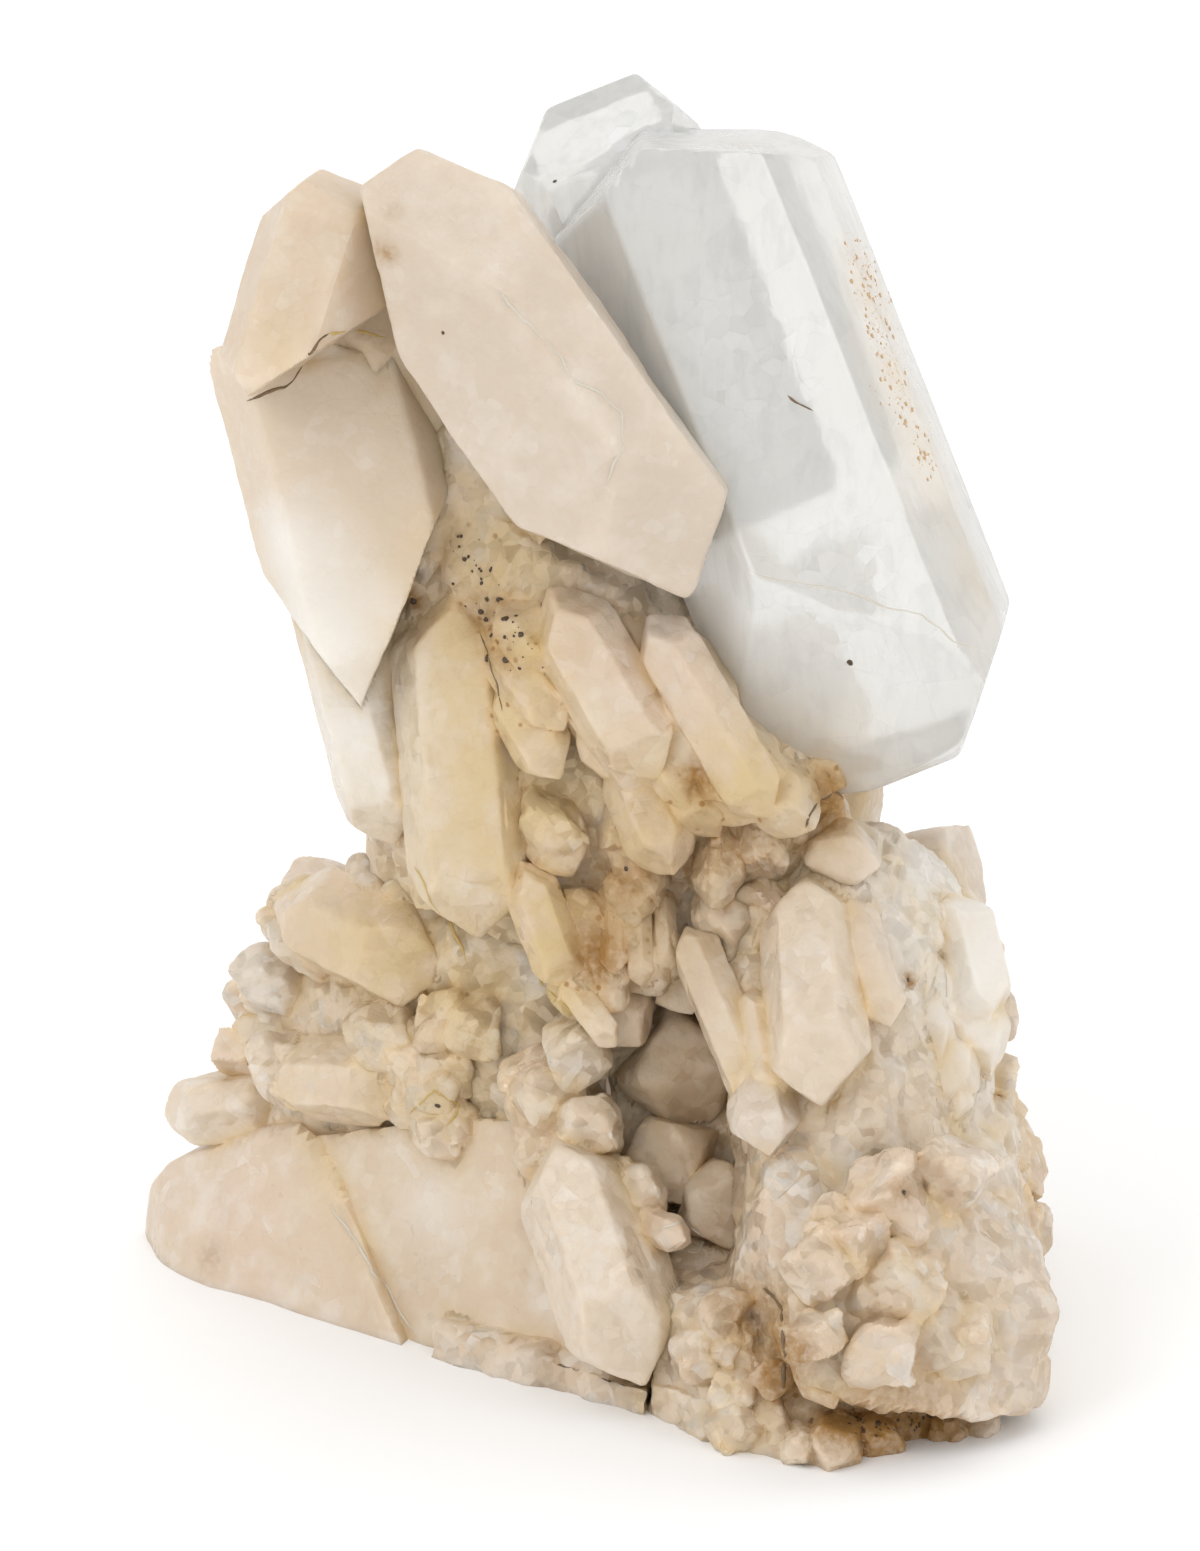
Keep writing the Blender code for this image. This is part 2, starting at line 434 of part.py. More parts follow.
def unite(parts, growths, cutter):
    """One solid from all the growths, cut flat along the ground."""
    first = growths.objects[0]
    cluster = bpy.data.objects.new(OBJECT_NAME, first.data.copy())
    cluster.location = first.location
    bpy.data.objects.remove(first)
    parts.objects.link(cluster)
    union = cluster.modifiers.new("grown_together", "BOOLEAN")
    union.operation = "UNION"
    union.operand_type = "COLLECTION"
    union.collection = growths
    union.solver = "EXACT"
    union.material_mode = "TRANSFER"
    cut = cluster.modifiers.new("cut_flat", "BOOLEAN")
    cut.operation = "DIFFERENCE"
    cut.object = cutter
    cut.solver = "EXACT"
    bpy.context.view_layer.update()
    evaluated = cluster.evaluated_get(bpy.context.evaluated_depsgraph_get())
    grown = keep_outer_skin(bpy.data.meshes.new_from_object(evaluated))
    cluster.modifiers.clear()
    cluster.data = grown
    grown.name = OBJECT_NAME


def build():
    """The cluster: all the crystals and blocks united, and cut off at the ground."""
    for old in list(bpy.data.objects):
        bpy.data.objects.remove(old, do_unlink=True)
    make_finishes()
    parts = new_collection(OBJECT_NAME + "_parts")
    growths = new_collection("growths")
    grow_clear_crystals(growths)
    grow_cream_crystals(growths)
    for name, tail, tip, wide, thick, turn, finish in FRONT_CRYSTALS:
        crystal(name, seen(*tail), seen(*tip), wide, thick, finish, growths, turn)
    for name, tail, tip, wide, thick, turn, finish in BACK_CRYSTALS:
        crystal(name, standing(*tail), standing(*tip), wide, thick, finish, growths, turn)
    for name, finish, count, patch, pointing, scatter, lengths, widths in FRONT_GROUPS:
        right, up, front = pointing
        towards = SIDEWAYS * right + UPWARDS * up + TOWARDS * front
        patch = [seen(*corner) for corner in patch]
        grow_group(name, count, patch, towards, scatter, lengths, widths, finish, growths)
    for name, finish, count, patch, pointing, scatter, lengths, widths in BACK_GROUPS:
        patch = [standing(*corner) for corner in patch]
        grow_group(name, count, patch, Vector(pointing), scatter, lengths, widths, finish, growths)
    for name, finish, corners, foot in ROUGH_BLOCKS:
        spots = [seen(*corner) for corner in corners] + [standing(*corner, BELOW) for corner in foot]
        rough_block(name, spots, finish, growths)
    unite(parts, growths, ground_block())


build()
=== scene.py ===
"""A quartz crystal cluster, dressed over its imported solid.

Every crystal and every rough block is a closed skin worked out from the same flat faces as in the solid:
the skin's distance from the middle is a smooth minimum over the faces, so that edges come out slightly
worn, and a low relief lies on it. Crystals that grew together are united. Places are in millimetres as
(across, up, back), the way the cluster is seen from the front by somebody who looks down on it.
"""

from __future__ import annotations

import functools
import logging
import math
import random
import zlib
from dataclasses import dataclass, field
from enum import Enum
from typing import Any, Iterable, Sequence

import bmesh
import bpy
import numpy as np
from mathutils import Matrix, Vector
from mathutils.bvhtree import BVHTree

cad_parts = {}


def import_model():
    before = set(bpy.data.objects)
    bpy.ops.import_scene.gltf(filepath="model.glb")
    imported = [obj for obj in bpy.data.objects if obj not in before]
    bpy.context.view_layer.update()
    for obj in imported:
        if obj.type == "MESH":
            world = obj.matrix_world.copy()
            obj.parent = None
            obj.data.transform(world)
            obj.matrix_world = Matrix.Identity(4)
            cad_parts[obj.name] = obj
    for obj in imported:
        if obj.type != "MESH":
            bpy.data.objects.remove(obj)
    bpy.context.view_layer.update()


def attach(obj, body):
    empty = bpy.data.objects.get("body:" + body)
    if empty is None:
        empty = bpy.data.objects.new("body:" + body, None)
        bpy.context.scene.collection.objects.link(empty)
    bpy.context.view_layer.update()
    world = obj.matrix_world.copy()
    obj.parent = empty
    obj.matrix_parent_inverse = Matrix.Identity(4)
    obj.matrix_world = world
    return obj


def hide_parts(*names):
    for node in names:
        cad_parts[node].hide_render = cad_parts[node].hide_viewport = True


LOG = logging.getLogger("quartz_cluster")

MM = 0.001
NODE = "quartz_cluster"
BODY = "root"
QUARTZ_IOR = 1.54

Place = tuple[float, float, float]
Colour = tuple[float, float, float]
Array = np.ndarray


@dataclass(frozen=True)
class Sight:
    """How the cluster is seen from the front.

    Attributes:
        look_down: how far the eye looks down, in degrees.
        middle: across and back, in millimetres, of the place over the row's origin.
    """

    look_down: float = 20.0
    middle: tuple[float, float] = (4.0, 42.0)

    @property
    def towards(self) -> Array:
        """The direction to the eye."""
        down = math.radians(self.look_down)
        return np.array((0.0, -math.cos(down), math.sin(down)))

    @property
    def upwards(self) -> Array:
        """The direction that is up in the view."""
        down = math.radians(self.look_down)
        return np.array((0.0, math.sin(down), math.cos(down)))

    def seen(self, across: float, up: float, back: float) -> Array:
        """The world place of a point that is seen at across and up, this far back from the front corner."""
        down = math.radians(self.look_down)
        height = (up - back * math.sin(down)) / math.cos(down)
        return self.standing(across, back, height)

    def standing(self, across: float, back: float, height: float) -> Array:
        """The world place of a point by its height over the cut."""
        return np.array((across - self.middle[0], back - self.middle[1], height)) * MM

    def frame_along(self, axis: Array) -> Array:
        """The directions of a crystal as columns: to its right, towards the front, and along its axis."""
        axis = axis / np.linalg.norm(axis)
        front = self.towards - axis * (self.towards @ axis)
        front = front / np.linalg.norm(front)
        return np.stack((np.cross(axis, front), front, axis), axis=1)


SIGHT = Sight()


def lattice(cells: Array, seed: int) -> Array:
    """A repeatable random number from 0 to 1 for each cell: its three whole numbers, mixed bit by bit.

    Args:
        cells: whole numbers, three to a row.
        seed: which set of random numbers.

    Returns:
        One number for each row.
    """
    mixed = (cells[..., 0] * 73856093) ^ (cells[..., 1] * 19349663) ^ (cells[..., 2] * 83492791)
    mixed = (mixed ^ (seed * 2654435761)) & 0xFFFFFFFF
    mixed = ((mixed ^ (mixed >> 15)) * 2246822519) & 0xFFFFFFFF
    mixed = ((mixed ^ (mixed >> 13)) * 3266489917) & 0xFFFFFFFF
    return (mixed ^ (mixed >> 16)) / 4294967295.0


def waves(points: Array, size: float, seed: int, layers: int = 1) -> Array:
    """Smooth random hills from -1 to 1: each layer blends the lattice numbers at the eight corners of a
    point's cell, and is half as wide and half as high as the layer before.

    Args:
        points: places, three to a row.
        size: how wide a hill of the first layer is.
        seed: which hills.
        layers: how many layers are added.

    Returns:
        One height for each row.
    """
    total = np.zeros(len(points))
    height = 1.0
    for layer in range(layers):
        scaled = points / size * 2.0**layer
        cell = np.floor(scaled).astype(np.int64)
        share = scaled - cell
        share = share * share * (3.0 - 2.0 * share)
        for corner in range(8):
            offset = np.array((corner & 1, corner >> 1 & 1, corner >> 2 & 1))
            weight = np.prod(np.where(offset, share, 1.0 - share), axis=1)
            total += height * weight * (2.0 * lattice(cell + offset, seed + layer) - 1.0)
        height *= 0.5
    return total


def facets(points: Array, size: float, seed: int) -> Array:
    """A crust of small tilted pyramids, from about 0 to 1: every cell holds one site, whose pyramid falls
    off with the largest of three slanting distances from the site, and the highest pyramid shows.

    Args:
        points: places, three to a row.
        size: how wide a cell is.
        seed: which crust.

    Returns:
        One height for each row.
    """
    scaled = points / size
    cell = np.floor(scaled).astype(np.int64)
    slants = np.array(((0.94, 0.34, 0.0), (-0.42, 0.77, 0.48), (0.2, -0.55, 0.81)))
    crust = np.full(len(points), -9.0)
    for step in np.ndindex(3, 3, 3):
        site = cell + np.array(step) - 1
        spread = np.stack([lattice(site, seed + k) for k in range(3)], axis=-1)
        away = scaled - site - spread
        tilt = (away * (2.0 * spread[:, [1, 2, 0]] - 1.0)).sum(axis=1)
        peak = 0.75 + 0.35 * spread[:, 0]
        crust = np.maximum(crust, peak - np.abs(away @ slants.T).max(axis=1) + 0.45 * tilt)
    return crust


@functools.lru_cache(maxsize=None)
def ball_grid(count: int) -> tuple[Array, Array]:
    """A closed grid of directions: six square sheets of count by count quads, folded round a ball. A
    sheet's two parameters are the angles of its rows and columns.

    Args:
        count: quads along each side of a sheet.

    Returns:
        The directions, and the quads as rows of four indices, facing outwards.
    """
    steps = np.tan(np.linspace(-math.pi / 4, math.pi / 4, count + 1))
    u, v = np.meshgrid(steps, steps, indexing="ij")
    one = np.ones_like(u)
    sheets = ((one, u, v), (-one, v, u), (v, one, u), (u, -one, v), (u, v, one), (v, u, -one))
    points = np.concatenate([np.stack(sheet, axis=-1).reshape(-1, 3) for sheet in sheets])
    row, column = np.meshgrid(np.arange(count), np.arange(count), indexing="ij")
    first = row * (count + 1) + column
    quad = np.stack((first, first + count + 1, first + count + 2, first + 1), axis=-1).reshape(-1, 4)
    quads = np.concatenate([quad + sheet * (count + 1) ** 2 for sheet in range(6)])
    rounded = np.round(points * 1e6).astype(np.int64)
    _, kept, index = np.unique(rounded, axis=0, return_index=True, return_inverse=True)
    points = points[kept]
    return points / np.linalg.norm(points, axis=1, keepdims=True), index.reshape(-1)[quads]


class Surface(Enum):
    """How a crystal's faces are finished: the spacing of its grid in millimetres, how sharp its edges are,
    and how chipped its faces are, from 0 to 1."""

    GLASSY = (0.6, 110.0, 0.0)
    CREAM = (0.5, 90.0, 0.1)
    SMALL = (0.42, 48.0, 0.32)
    LUMP = (0.45, 26.0, 0.85)
    SLAB = (0.65, 60.0, 0.3)
    ROUGH = (0.65, 44.0, 1.0)

    @property
    def spacing(self) -> float:
        """The distance between neighbouring points of the grid, in millimetres."""
        return self.value[0]

    @property
    def sharpness(self) -> float:
        """The power of the smooth minimum: the higher, the sharper the edges."""
        return self.value[1]

    @property
    def chipped(self) -> float:
        """How chipped its faces are, from 0 to 1."""
        return self.value[2]

    def relief(self, points: Array, seed: int) -> Array:
        """How far the finished surface stands out of the flat faces.

        Args:
            points: places in the crystal's own directions, in millimetres.
            seed: which relief.

        Returns:
            Heights in millimetres.
        """
        lines = points * np.array((0.12, 0.12, 1.0))
        if self is Surface.GLASSY:
            return 0.08 * waves(points, 9.0, seed, 2) + 0.03 * waves(lines, 1.3, seed + 9, 2)
        if self is Surface.CREAM:
            return 0.16 * waves(points, 7.0, seed, 3) + 0.05 * waves(lines, 1.1, seed + 9, 2)
        if self is Surface.SMALL:
            chips = np.minimum(facets(points * np.array((1.0, 1.0, 0.6)), 2.3, seed + 40), 0.62)
            return 0.5 * chips - 0.25 + 0.1 * waves(points, 2.4, seed, 2) + 0.04 * waves(lines, 0.8, seed + 9)
        if self is Surface.SLAB:
            steps = np.minimum(facets(points, 7.0, seed + 3), 0.7)
            return 0.5 * waves(points, 11.0, seed, 4) + 0.5 * steps - 0.35
        bent = points + 0.8 * waves(points, 5.0, seed + 5)[:, None]
        if self is Surface.LUMP:
            return 1.5 * facets(bent, 3.6, seed) + 0.5 * facets(bent, 1.8, seed + 11) - 1.1
        crust = 1.9 * facets(bent, 5.2, seed) + 0.7 * facets(bent, 2.3, seed + 11)
        return crust - 1.7 + 0.15 * waves(points, 1.6, seed + 20, 2) + 0.7 * waves(points, 9.0, seed + 30)


@dataclass(frozen=True)
class Block:
    """One crystal or rough block, bounded by flat faces.

    Attributes:
        name: what it is called.
        centre: a place inside it, in metres.
        frame: its own directions, as columns.
        normals: the outward direction of each face, a row each.
        reaches: how far each face lies from the centre, in metres.
        surface: how its faces are finished.
    """

    name: str
    centre: Array
    frame: Array
    normals: Array
    reaches: Array
    surface: Surface

    @property
    def seed(self) -> int:
        """A number of its own for its relief."""
        return zlib.crc32(self.name.encode()) % 9973

    def reach(self, directions: Array) -> tuple[Array, Array]:
        """Where a ray from the centre leaves the block, as a smooth minimum: the distances to the faces'
        planes are joined by the inverse of the p-norm of their inverses.

        Args:
            directions: unit directions, a row each.

        Returns:
            The distance along each direction, and the smoothed outward direction there.
        """
        rates = np.maximum(directions @ self.normals.T / self.reaches, 1e-9)
        most = rates.max(axis=1, keepdims=True)
        weights = (rates / most) ** self.surface.sharpness
        total = weights.sum(axis=1)
        outward = weights @ self.normals
        outward /= np.linalg.norm(outward, axis=1, keepdims=True)
        return 1.0 / (most[:, 0] * total ** (1.0 / self.surface.sharpness)), outward

    @functools.cached_property
    def spread(self) -> Array:
        """Half its size along each of its own directions, in metres."""
        ends = np.concatenate((self.frame.T, -self.frame.T))
        return self.reach(ends)[0].reshape(2, 3).mean(axis=0)

    def skin(self, coarse: float = 1.0) -> tuple[Array, Array]:
        """Its surface as a closed grid, stretched to the block's proportions.

        Args:
            coarse: how many times wider the grid is than the surface asks for.

        Returns:
            The points in metres and the quads, facing outwards.
        """
        count = math.ceil(math.pi / 2 * self.spread.max() / (self.surface.spacing * MM * coarse))
        grid, quads = ball_grid(max(count, 9))
        own = grid * self.spread
        own /= np.linalg.norm(own, axis=1, keepdims=True)
        directions = own @ self.frame.T
        distance, outward = self.reach(directions)
        raised = self.surface.relief(own * distance[:, None] / MM, self.seed)
        points = self.centre + directions * distance[:, None] + outward * raised[:, None] * MM
        return points, quads if np.linalg.det(self.frame) > 0 else quads[:, ::-1]

    def distance(self, points: Array) -> Array:
        """How far points lie outside its nearest face plane, in metres, and less than nothing inside."""
        return ((points - self.centre) @ self.normals.T - self.reaches).max(axis=1)


END_SLOPE = 38.2
"""How far the faces of a crystal's point are turned from its sides, in degrees, in quartz."""


def cut_block(name: str, centre: Array, frame: Array, faces: Iterable[Place], surface: Surface) -> Block:
    """A block cut by flat faces.

    Args:
        name: what it is called.
        centre: its middle, in metres.
        frame: its own directions, as columns.
        faces: (facing, slope, reach): the normal is turned by facing from the front round the axis and
            raised by slope towards the tip, in degrees, and the face lies at reach millimetres.
        surface: how its faces are finished.

    Returns:
        The block.
    """
    table = np.array(list(faces))
    facing, slope = np.radians(table[:, 0]), np.radians(table[:, 1])
    normals = np.stack((np.sin(facing) * np.cos(slope), np.cos(facing) * np.cos(slope), np.sin(slope)), axis=1)
    return Block(name, centre, frame, normals @ frame.T, table[:, 2] * MM, surface)


def crystal(
    name: str,
    tail: Array,
    tip: Array,
    wide: float,
    thick: float,
    turn: float,
    surface: Surface = Surface.SMALL,
) -> Block:
    """An ordinary crystal from tail to tip, with six sides and a six-sided point at each end.

    Args:
        name: what it is called, which also draws how its faces are set back.
        tail: its far end, in metres.
        tip: its point, in metres.
        wide: how wide it is across the view, in millimetres.
        thick: how thick it is, in millimetres.
        turn: how far its sides are turned round the axis, in degrees.
        surface: how its faces are finished.

    Returns:
        The block.
    """
    chance = random.Random(name)
    length = float(np.linalg.norm(tip - tail)) / MM
    faces = []
    for side in range(6):
        facing = turn + 60.0 * side
        across, deep = math.sin(math.radians(facing)), math.cos(math.radians(facing))
        reach = math.hypot(0.5 * wide * across, 0.5 * thick * deep)
        faces.append((facing, 0.0, reach * chance.uniform(0.92, 1.06)))
        for end in (1, -1):
            least = 0.22 if (side % 2 == 0) == (end == 1) else 0.0
            step = chance.uniform(least, least + 0.12) * min(wide, thick)
            faces.append((facing, end * END_SLOPE, (0.5 * length - step) * math.sin(math.radians(END_SLOPE))))
    return cut_block(name, (tail + tip) / 2, SIGHT.frame_along(tip - tail), faces, surface)


def large_crystal(name: str, centre: Place, lean: float, faces: Iterable[Place], surface: Surface) -> Block:
    """A large crystal with its own faces, which leans this many degrees to the left at its top."""
    turn = math.radians(lean)
    axis = SIGHT.upwards * math.cos(turn) - np.array((math.sin(turn), 0.0, 0.0))
    return cut_block(name, SIGHT.seen(*centre), SIGHT.frame_along(axis), faces, surface)


def rough_block(
    name: str, corners: Sequence[Place], foot: Sequence[tuple[float, float]], surface: Surface = Surface.ROUGH
) -> Block:
    """A rough block of massive quartz, spanned by its corners.

    Args:
        name: what it is called.
        corners: corners as (across, up, back).
        foot: corners that stand on the cut, as (across, back).
        surface: how its faces are finished.

    Returns:
        The block, bounded by the planes of the corners' convex hull.
    """
    below, same_plane = -3.0, math.cos(math.radians(5.0))
    spots = [SIGHT.seen(*corner) for corner in corners] + [SIGHT.standing(*spot, below) for spot in foot]
    shape = bmesh.new()
    for spot in spots:
        shape.verts.new(spot)
    bmesh.ops.convex_hull(shape, input=shape.verts[:])
    middle = np.mean(spots, axis=0)
    normals, reaches = [], []
    for face in shape.faces:
        normal = np.array(face.normal)
        reach = float(normal @ (np.array(face.verts[0].co) - middle))
        normal, reach = normal * math.copysign(1.0, reach), abs(reach)
        if all(normal @ other < same_plane for other in normals):
            normals.append(normal)
            reaches.append(reach)
    shape.free()
    return Block(name, middle, np.eye(3), np.array(normals), np.array(reaches), surface)


@dataclass(frozen=True)
class Druse:
    """A group of small crystals that grow out of a patch.

    Attributes:
        name: what it is called, which also draws its crystals.
        count: how many crystals.
        patch: the patch's four corners, as (across, up, back), or (across, back, height) where turned.
        pointing: where they point (right, up, towards the front), or (right, back, up) where turned.
        scatter: how far their directions scatter.
        lengths: shortest and longest, in millimetres.
        widths: narrowest and widest, in millimetres.
        turned: whether it is on a side that is turned away from the front.
        surface: how its crystals' faces are finished.
    """

    name: str
    count: int
    patch: tuple[Place, Place, Place, Place]
    pointing: Place
    scatter: float
    lengths: tuple[float, float]
    widths: tuple[float, float]
    turned: bool = False
    surface: Surface = Surface.SMALL

    showing = 0.5

    def crystals(self) -> list[Block]:
        """Its crystals, each drawn from its own place, direction and size."""
        chance = random.Random(self.name)
        if self.turned:
            patch = [SIGHT.standing(*corner) for corner in self.patch]
            pointing = np.array(self.pointing)
        else:
            patch = [SIGHT.seen(*corner) for corner in self.patch]
            right, up, front = self.pointing
            pointing = np.array((right, 0.0, 0.0)) + SIGHT.upwards * up + SIGHT.towards * front
        pointing = pointing / np.linalg.norm(pointing)
        grown = []
        for number in range(self.count):
            right, rise = chance.random(), chance.random()
            low = patch[0] + (patch[1] - patch[0]) * right
            high = patch[2] + (patch[3] - patch[2]) * right
            foot = low + (high - low) * rise
            axis = pointing + np.array([chance.uniform(-self.scatter, self.scatter) for _ in range(3)])
            axis = axis / np.linalg.norm(axis)
            length, wide = chance.uniform(*self.lengths) * MM, chance.uniform(*self.widths)
            tail, tip = foot - axis * (1.0 - self.showing) * length, foot + axis * self.showing * length
            thick, turn = wide * chance.uniform(0.75, 1.0), chance.uniform(0.0, 60.0)
            grown.append(crystal(f"{self.name}_{number:02d}", tail, tip, wide, thick, turn, self.surface))
        return grown


def mesh_object(name: str, points: Array, faces: Array) -> bpy.types.Object:
    """A new object at the origin with this mesh, not yet in the scene.

    Args:
        name: what it is called.
        points: places in metres, three to a row.
        faces: rows of corner indices, all of the same length.

    Returns:
        The object.
    """
    count, corners = faces.shape
    mesh = bpy.data.meshes.new(name)
    mesh.vertices.add(len(points))
    mesh.vertices.foreach_set("co", np.ascontiguousarray(points, np.float32).ravel())
    mesh.loops.add(count * corners)
    mesh.loops.foreach_set("vertex_index", np.ascontiguousarray(faces, np.int32).ravel())
    mesh.polygons.add(count)
    mesh.polygons.foreach_set("loop_start", np.arange(0, count * corners, corners, dtype=np.int32))
    mesh.update(calc_edges=True)
    return bpy.data.objects.new(name, mesh)


def points_of(mesh: bpy.types.Mesh) -> Array:
    """The places of a mesh's vertices, three to a row."""
    points = np.empty(len(mesh.vertices) * 3, np.float32)
    mesh.vertices.foreach_get("co", points)
    return points.reshape(-1, 3).astype(np.float64)


class Mason:
    """Unites skins into one closed mesh and cuts it flat along the ground."""

    crease_angle = math.radians(38.0)

    def __init__(self) -> None:
        """Makes the block of ground that is cut away."""
        self.bench = bpy.data.collections.new("bench")
        bpy.context.scene.collection.children.link(self.bench)
        grid, quads = ball_grid(1)
        box = grid / np.abs(grid).max(axis=1, keepdims=True) * 0.2 - np.array((0.0, 0.0, 0.2))
        self.ground = mesh_object("ground_cutter", box, quads)
        bpy.context.scene.collection.objects.link(self.ground)

    def unite(self, name: str, blocks: Sequence[Block], coarse: float) -> bpy.types.Object:
        """One closed object from the skins of these blocks.

        Args:
            name: what the object is called.
            blocks: what grew together.
            coarse: how many times wider the grids are than they ask for.

        Returns:
            The object, in the scene.
        """
        skins = [mesh_object(block.name, *block.skin(coarse)) for block in blocks]
        piece = skins[0]
        piece.name = piece.data.name = name
        bpy.context.scene.collection.objects.link(piece)
        for skin in skins[1:]:
            self.bench.objects.link(skin)
        if len(skins) > 1:
            together = piece.modifiers.new("grown_together", "BOOLEAN")
            together.operation = "UNION"
            together.operand_type = "COLLECTION"
            together.collection = self.bench
            together.solver = "MANIFOLD"
        cut = piece.modifiers.new("cut_flat", "BOOLEAN")
        cut.operation = "DIFFERENCE"
        cut.object = self.ground
        cut.solver = "MANIFOLD"
        bpy.context.view_layer.update()
        united = bpy.data.meshes.new_from_object(piece.evaluated_get(bpy.context.evaluated_depsgraph_get()))
        piece.modifiers.clear()
        old, piece.data = piece.data, united
        bpy.data.meshes.remove(old)
        united.name = name
        for skin in skins[1:]:
            spare = skin.data
            bpy.data.objects.remove(skin)
            bpy.data.meshes.remove(spare)
        united.shade_smooth()
        united.set_sharp_from_angle(angle=self.crease_angle)
        return piece

    def close(self) -> None:
        """Clears the bench away."""
        bpy.data.objects.remove(self.ground)
        bpy.data.collections.remove(self.bench)


class Tint(Enum):
    """The looks that come and go over the stone, each kept as an attribute of its vertices: tones, stains and
    chips, painted shade in creases and in the recess, and painted light at the rims.
    """

    # Nearness to a crease between two blocks: the yellow seam there is partly stain, partly painted shade.
    CREASE = "crease"
    # Whiter quartz and clouds, and painted light at the left and right rims.
    PALE = "pale"
    YELLOW = "yellow"
    BROWN = "brown"
    SMOKE = "smoke"
    # Painted shade in the recess in the middle and in the dark holes below it.
    TONE = "tone"
    CHIPPED = "chipped"


PATCHES: dict[Tint, tuple[tuple[float, float, float, float], ...]] = {
    Tint.YELLOW: (
        (-10.0, 92.0, 6.0, 0.8), (-6.0, 82.0, 3.0, 0.9), (-13.0, 66.0, 9.0, 0.3), (-16.0, 52.0, 5.0, 0.8),
        (-23.0, 55.0, 6.0, 0.6), (-26.0, 49.0, 6.0, 0.5), (-15.0, 38.0, 3.0, 0.8), (-4.5, 47.5, 2.5, 1.0),
        (-5.0, 54.0, 4.0, 0.7), (-10.0, 46.0, 4.0, 0.5), (-32.0, 113.0, 3.0, 0.4), (22.0, 68.0, 5.0, 0.8),
        (-13.5, 84.0, 5.0, 0.7), (-9.0, 75.0, 6.0, 0.55), (-6.0, 66.0, 6.0, 0.55), (2.0, 64.0, 6.0, 0.5),
        (9.0, 67.0, 5.0, 0.7), (15.0, 70.0, 5.0, 0.8), (26.0, 68.0, 4.0, 0.7), (-8.0, 54.0, 5.0, 0.7),
        (-12.0, 44.0, 5.0, 0.4), (3.0, 55.0, 6.0, 0.5), (18.0, 12.0, 6.0, 0.5), (8.0, 36.0, 7.0, 0.4),
        (27.0, 119.0, 4.0, 0.8), (29.0, 110.0, 4.0, 0.7), (33.0, 101.0, 4.0, 0.6), (37.5, 90.0, 3.0, 0.5),
        (23.0, 133.0, 5.0, 0.7), (14.0, 133.0, 3.0, 0.3), (-14.5, 70.0, 8.0, 0.35),
        (-20.0, 112.0, 4.0, 0.4),
    ),
    Tint.BROWN: (
        (0.0, 52.0, 2.4, 0.85), (-0.5, 58.5, 3.4, 0.45), (-12.0, 87.0, 3.0, 0.4), (-10.0, 82.0, 2.4, 0.45),
        (18.3, 12.5, 3.0, 0.8), (24.0, 5.5, 3.0, 0.8), (3.0, 59.5, 2.0, 0.5), (14.0, 62.5, 4.0, 0.55),
        (10.0, 69.7, 2.0, 0.7), (9.0, 60.5, 2.2, 0.6), (22.5, 67.5, 3.0, 0.8), (-21.3, 122.2, 1.2, 0.6),
        (-20.5, 126.0, 1.0, 0.35), (-18.7, 87.9, 1.1, 0.8), (29.0, 4.7, 4.5, 0.9), (33.0, 5.4, 3.0, 0.8),
        (17.5, 14.7, 3.0, 0.5), (14.0, 18.0, 3.5, 0.45), (18.0, 10.7, 3.0, 0.7), (30.0, 28.7, 1.4, 0.6),
        (30.8, 49.7, 0.9, 0.8), (-39.3, 21.4, 1.8, 0.4),
    ),
    # Painted shade: the face of the recessed crystal in the middle and the dark holes below it, which lie in
    # shadow.
    Tint.SMOKE: (
        (-31.0, 119.0, 9.0, 0.12), (10.5, 39.7, 5.0, 0.9), (13.5, 31.2, 3.0, 1.0), (12.8, 24.2, 2.8, 1.0),
        (4.0, 57.7, 5.0, 0.45), (9.0, 51.7, 5.0, 0.4), (-18.0, 19.0, 6.0, 0.2), (7.0, 30.0, 4.0, 0.3),
        (33.0, 22.0, 7.0, 0.15),
    ),
    # Whiter quartz, such as the white lump and the clouds in the clear crystal, and painted light along the
    # left and right rims, where light comes through the thin stone.
    Tint.PALE: (
        (-31.5, 93.0, 4.0, 0.9), (-28.0, 83.0, 7.0, 1.0), (-24.0, 72.0, 7.0, 1.0), (34.0, 57.7, 8.0, 1.0),
        (37.0, 51.0, 6.0, 1.0), (39.5, 42.0, 5.0, 0.8), (14.0, 114.0, 5.0, 0.9), (12.0, 104.0, 4.0, 0.7),
        (23.0, 88.0, 5.0, 0.7), (4.0, 135.0, 4.0, 0.9), (-36.0, 49.0, 4.0, 0.5), (-42.0, 34.0, 4.0, 0.4),
        (-17.0, 26.5, 3.0, 0.5), (40.0, 32.0, 3.5, 0.5),
    ),
}
# Places on the front with a tint, a stain, painted shade or painted light, as (across, up, radius, amount at
# the middle).
"""Places on the front that have a look of their own, as (across, up, radius, amount at the middle)."""


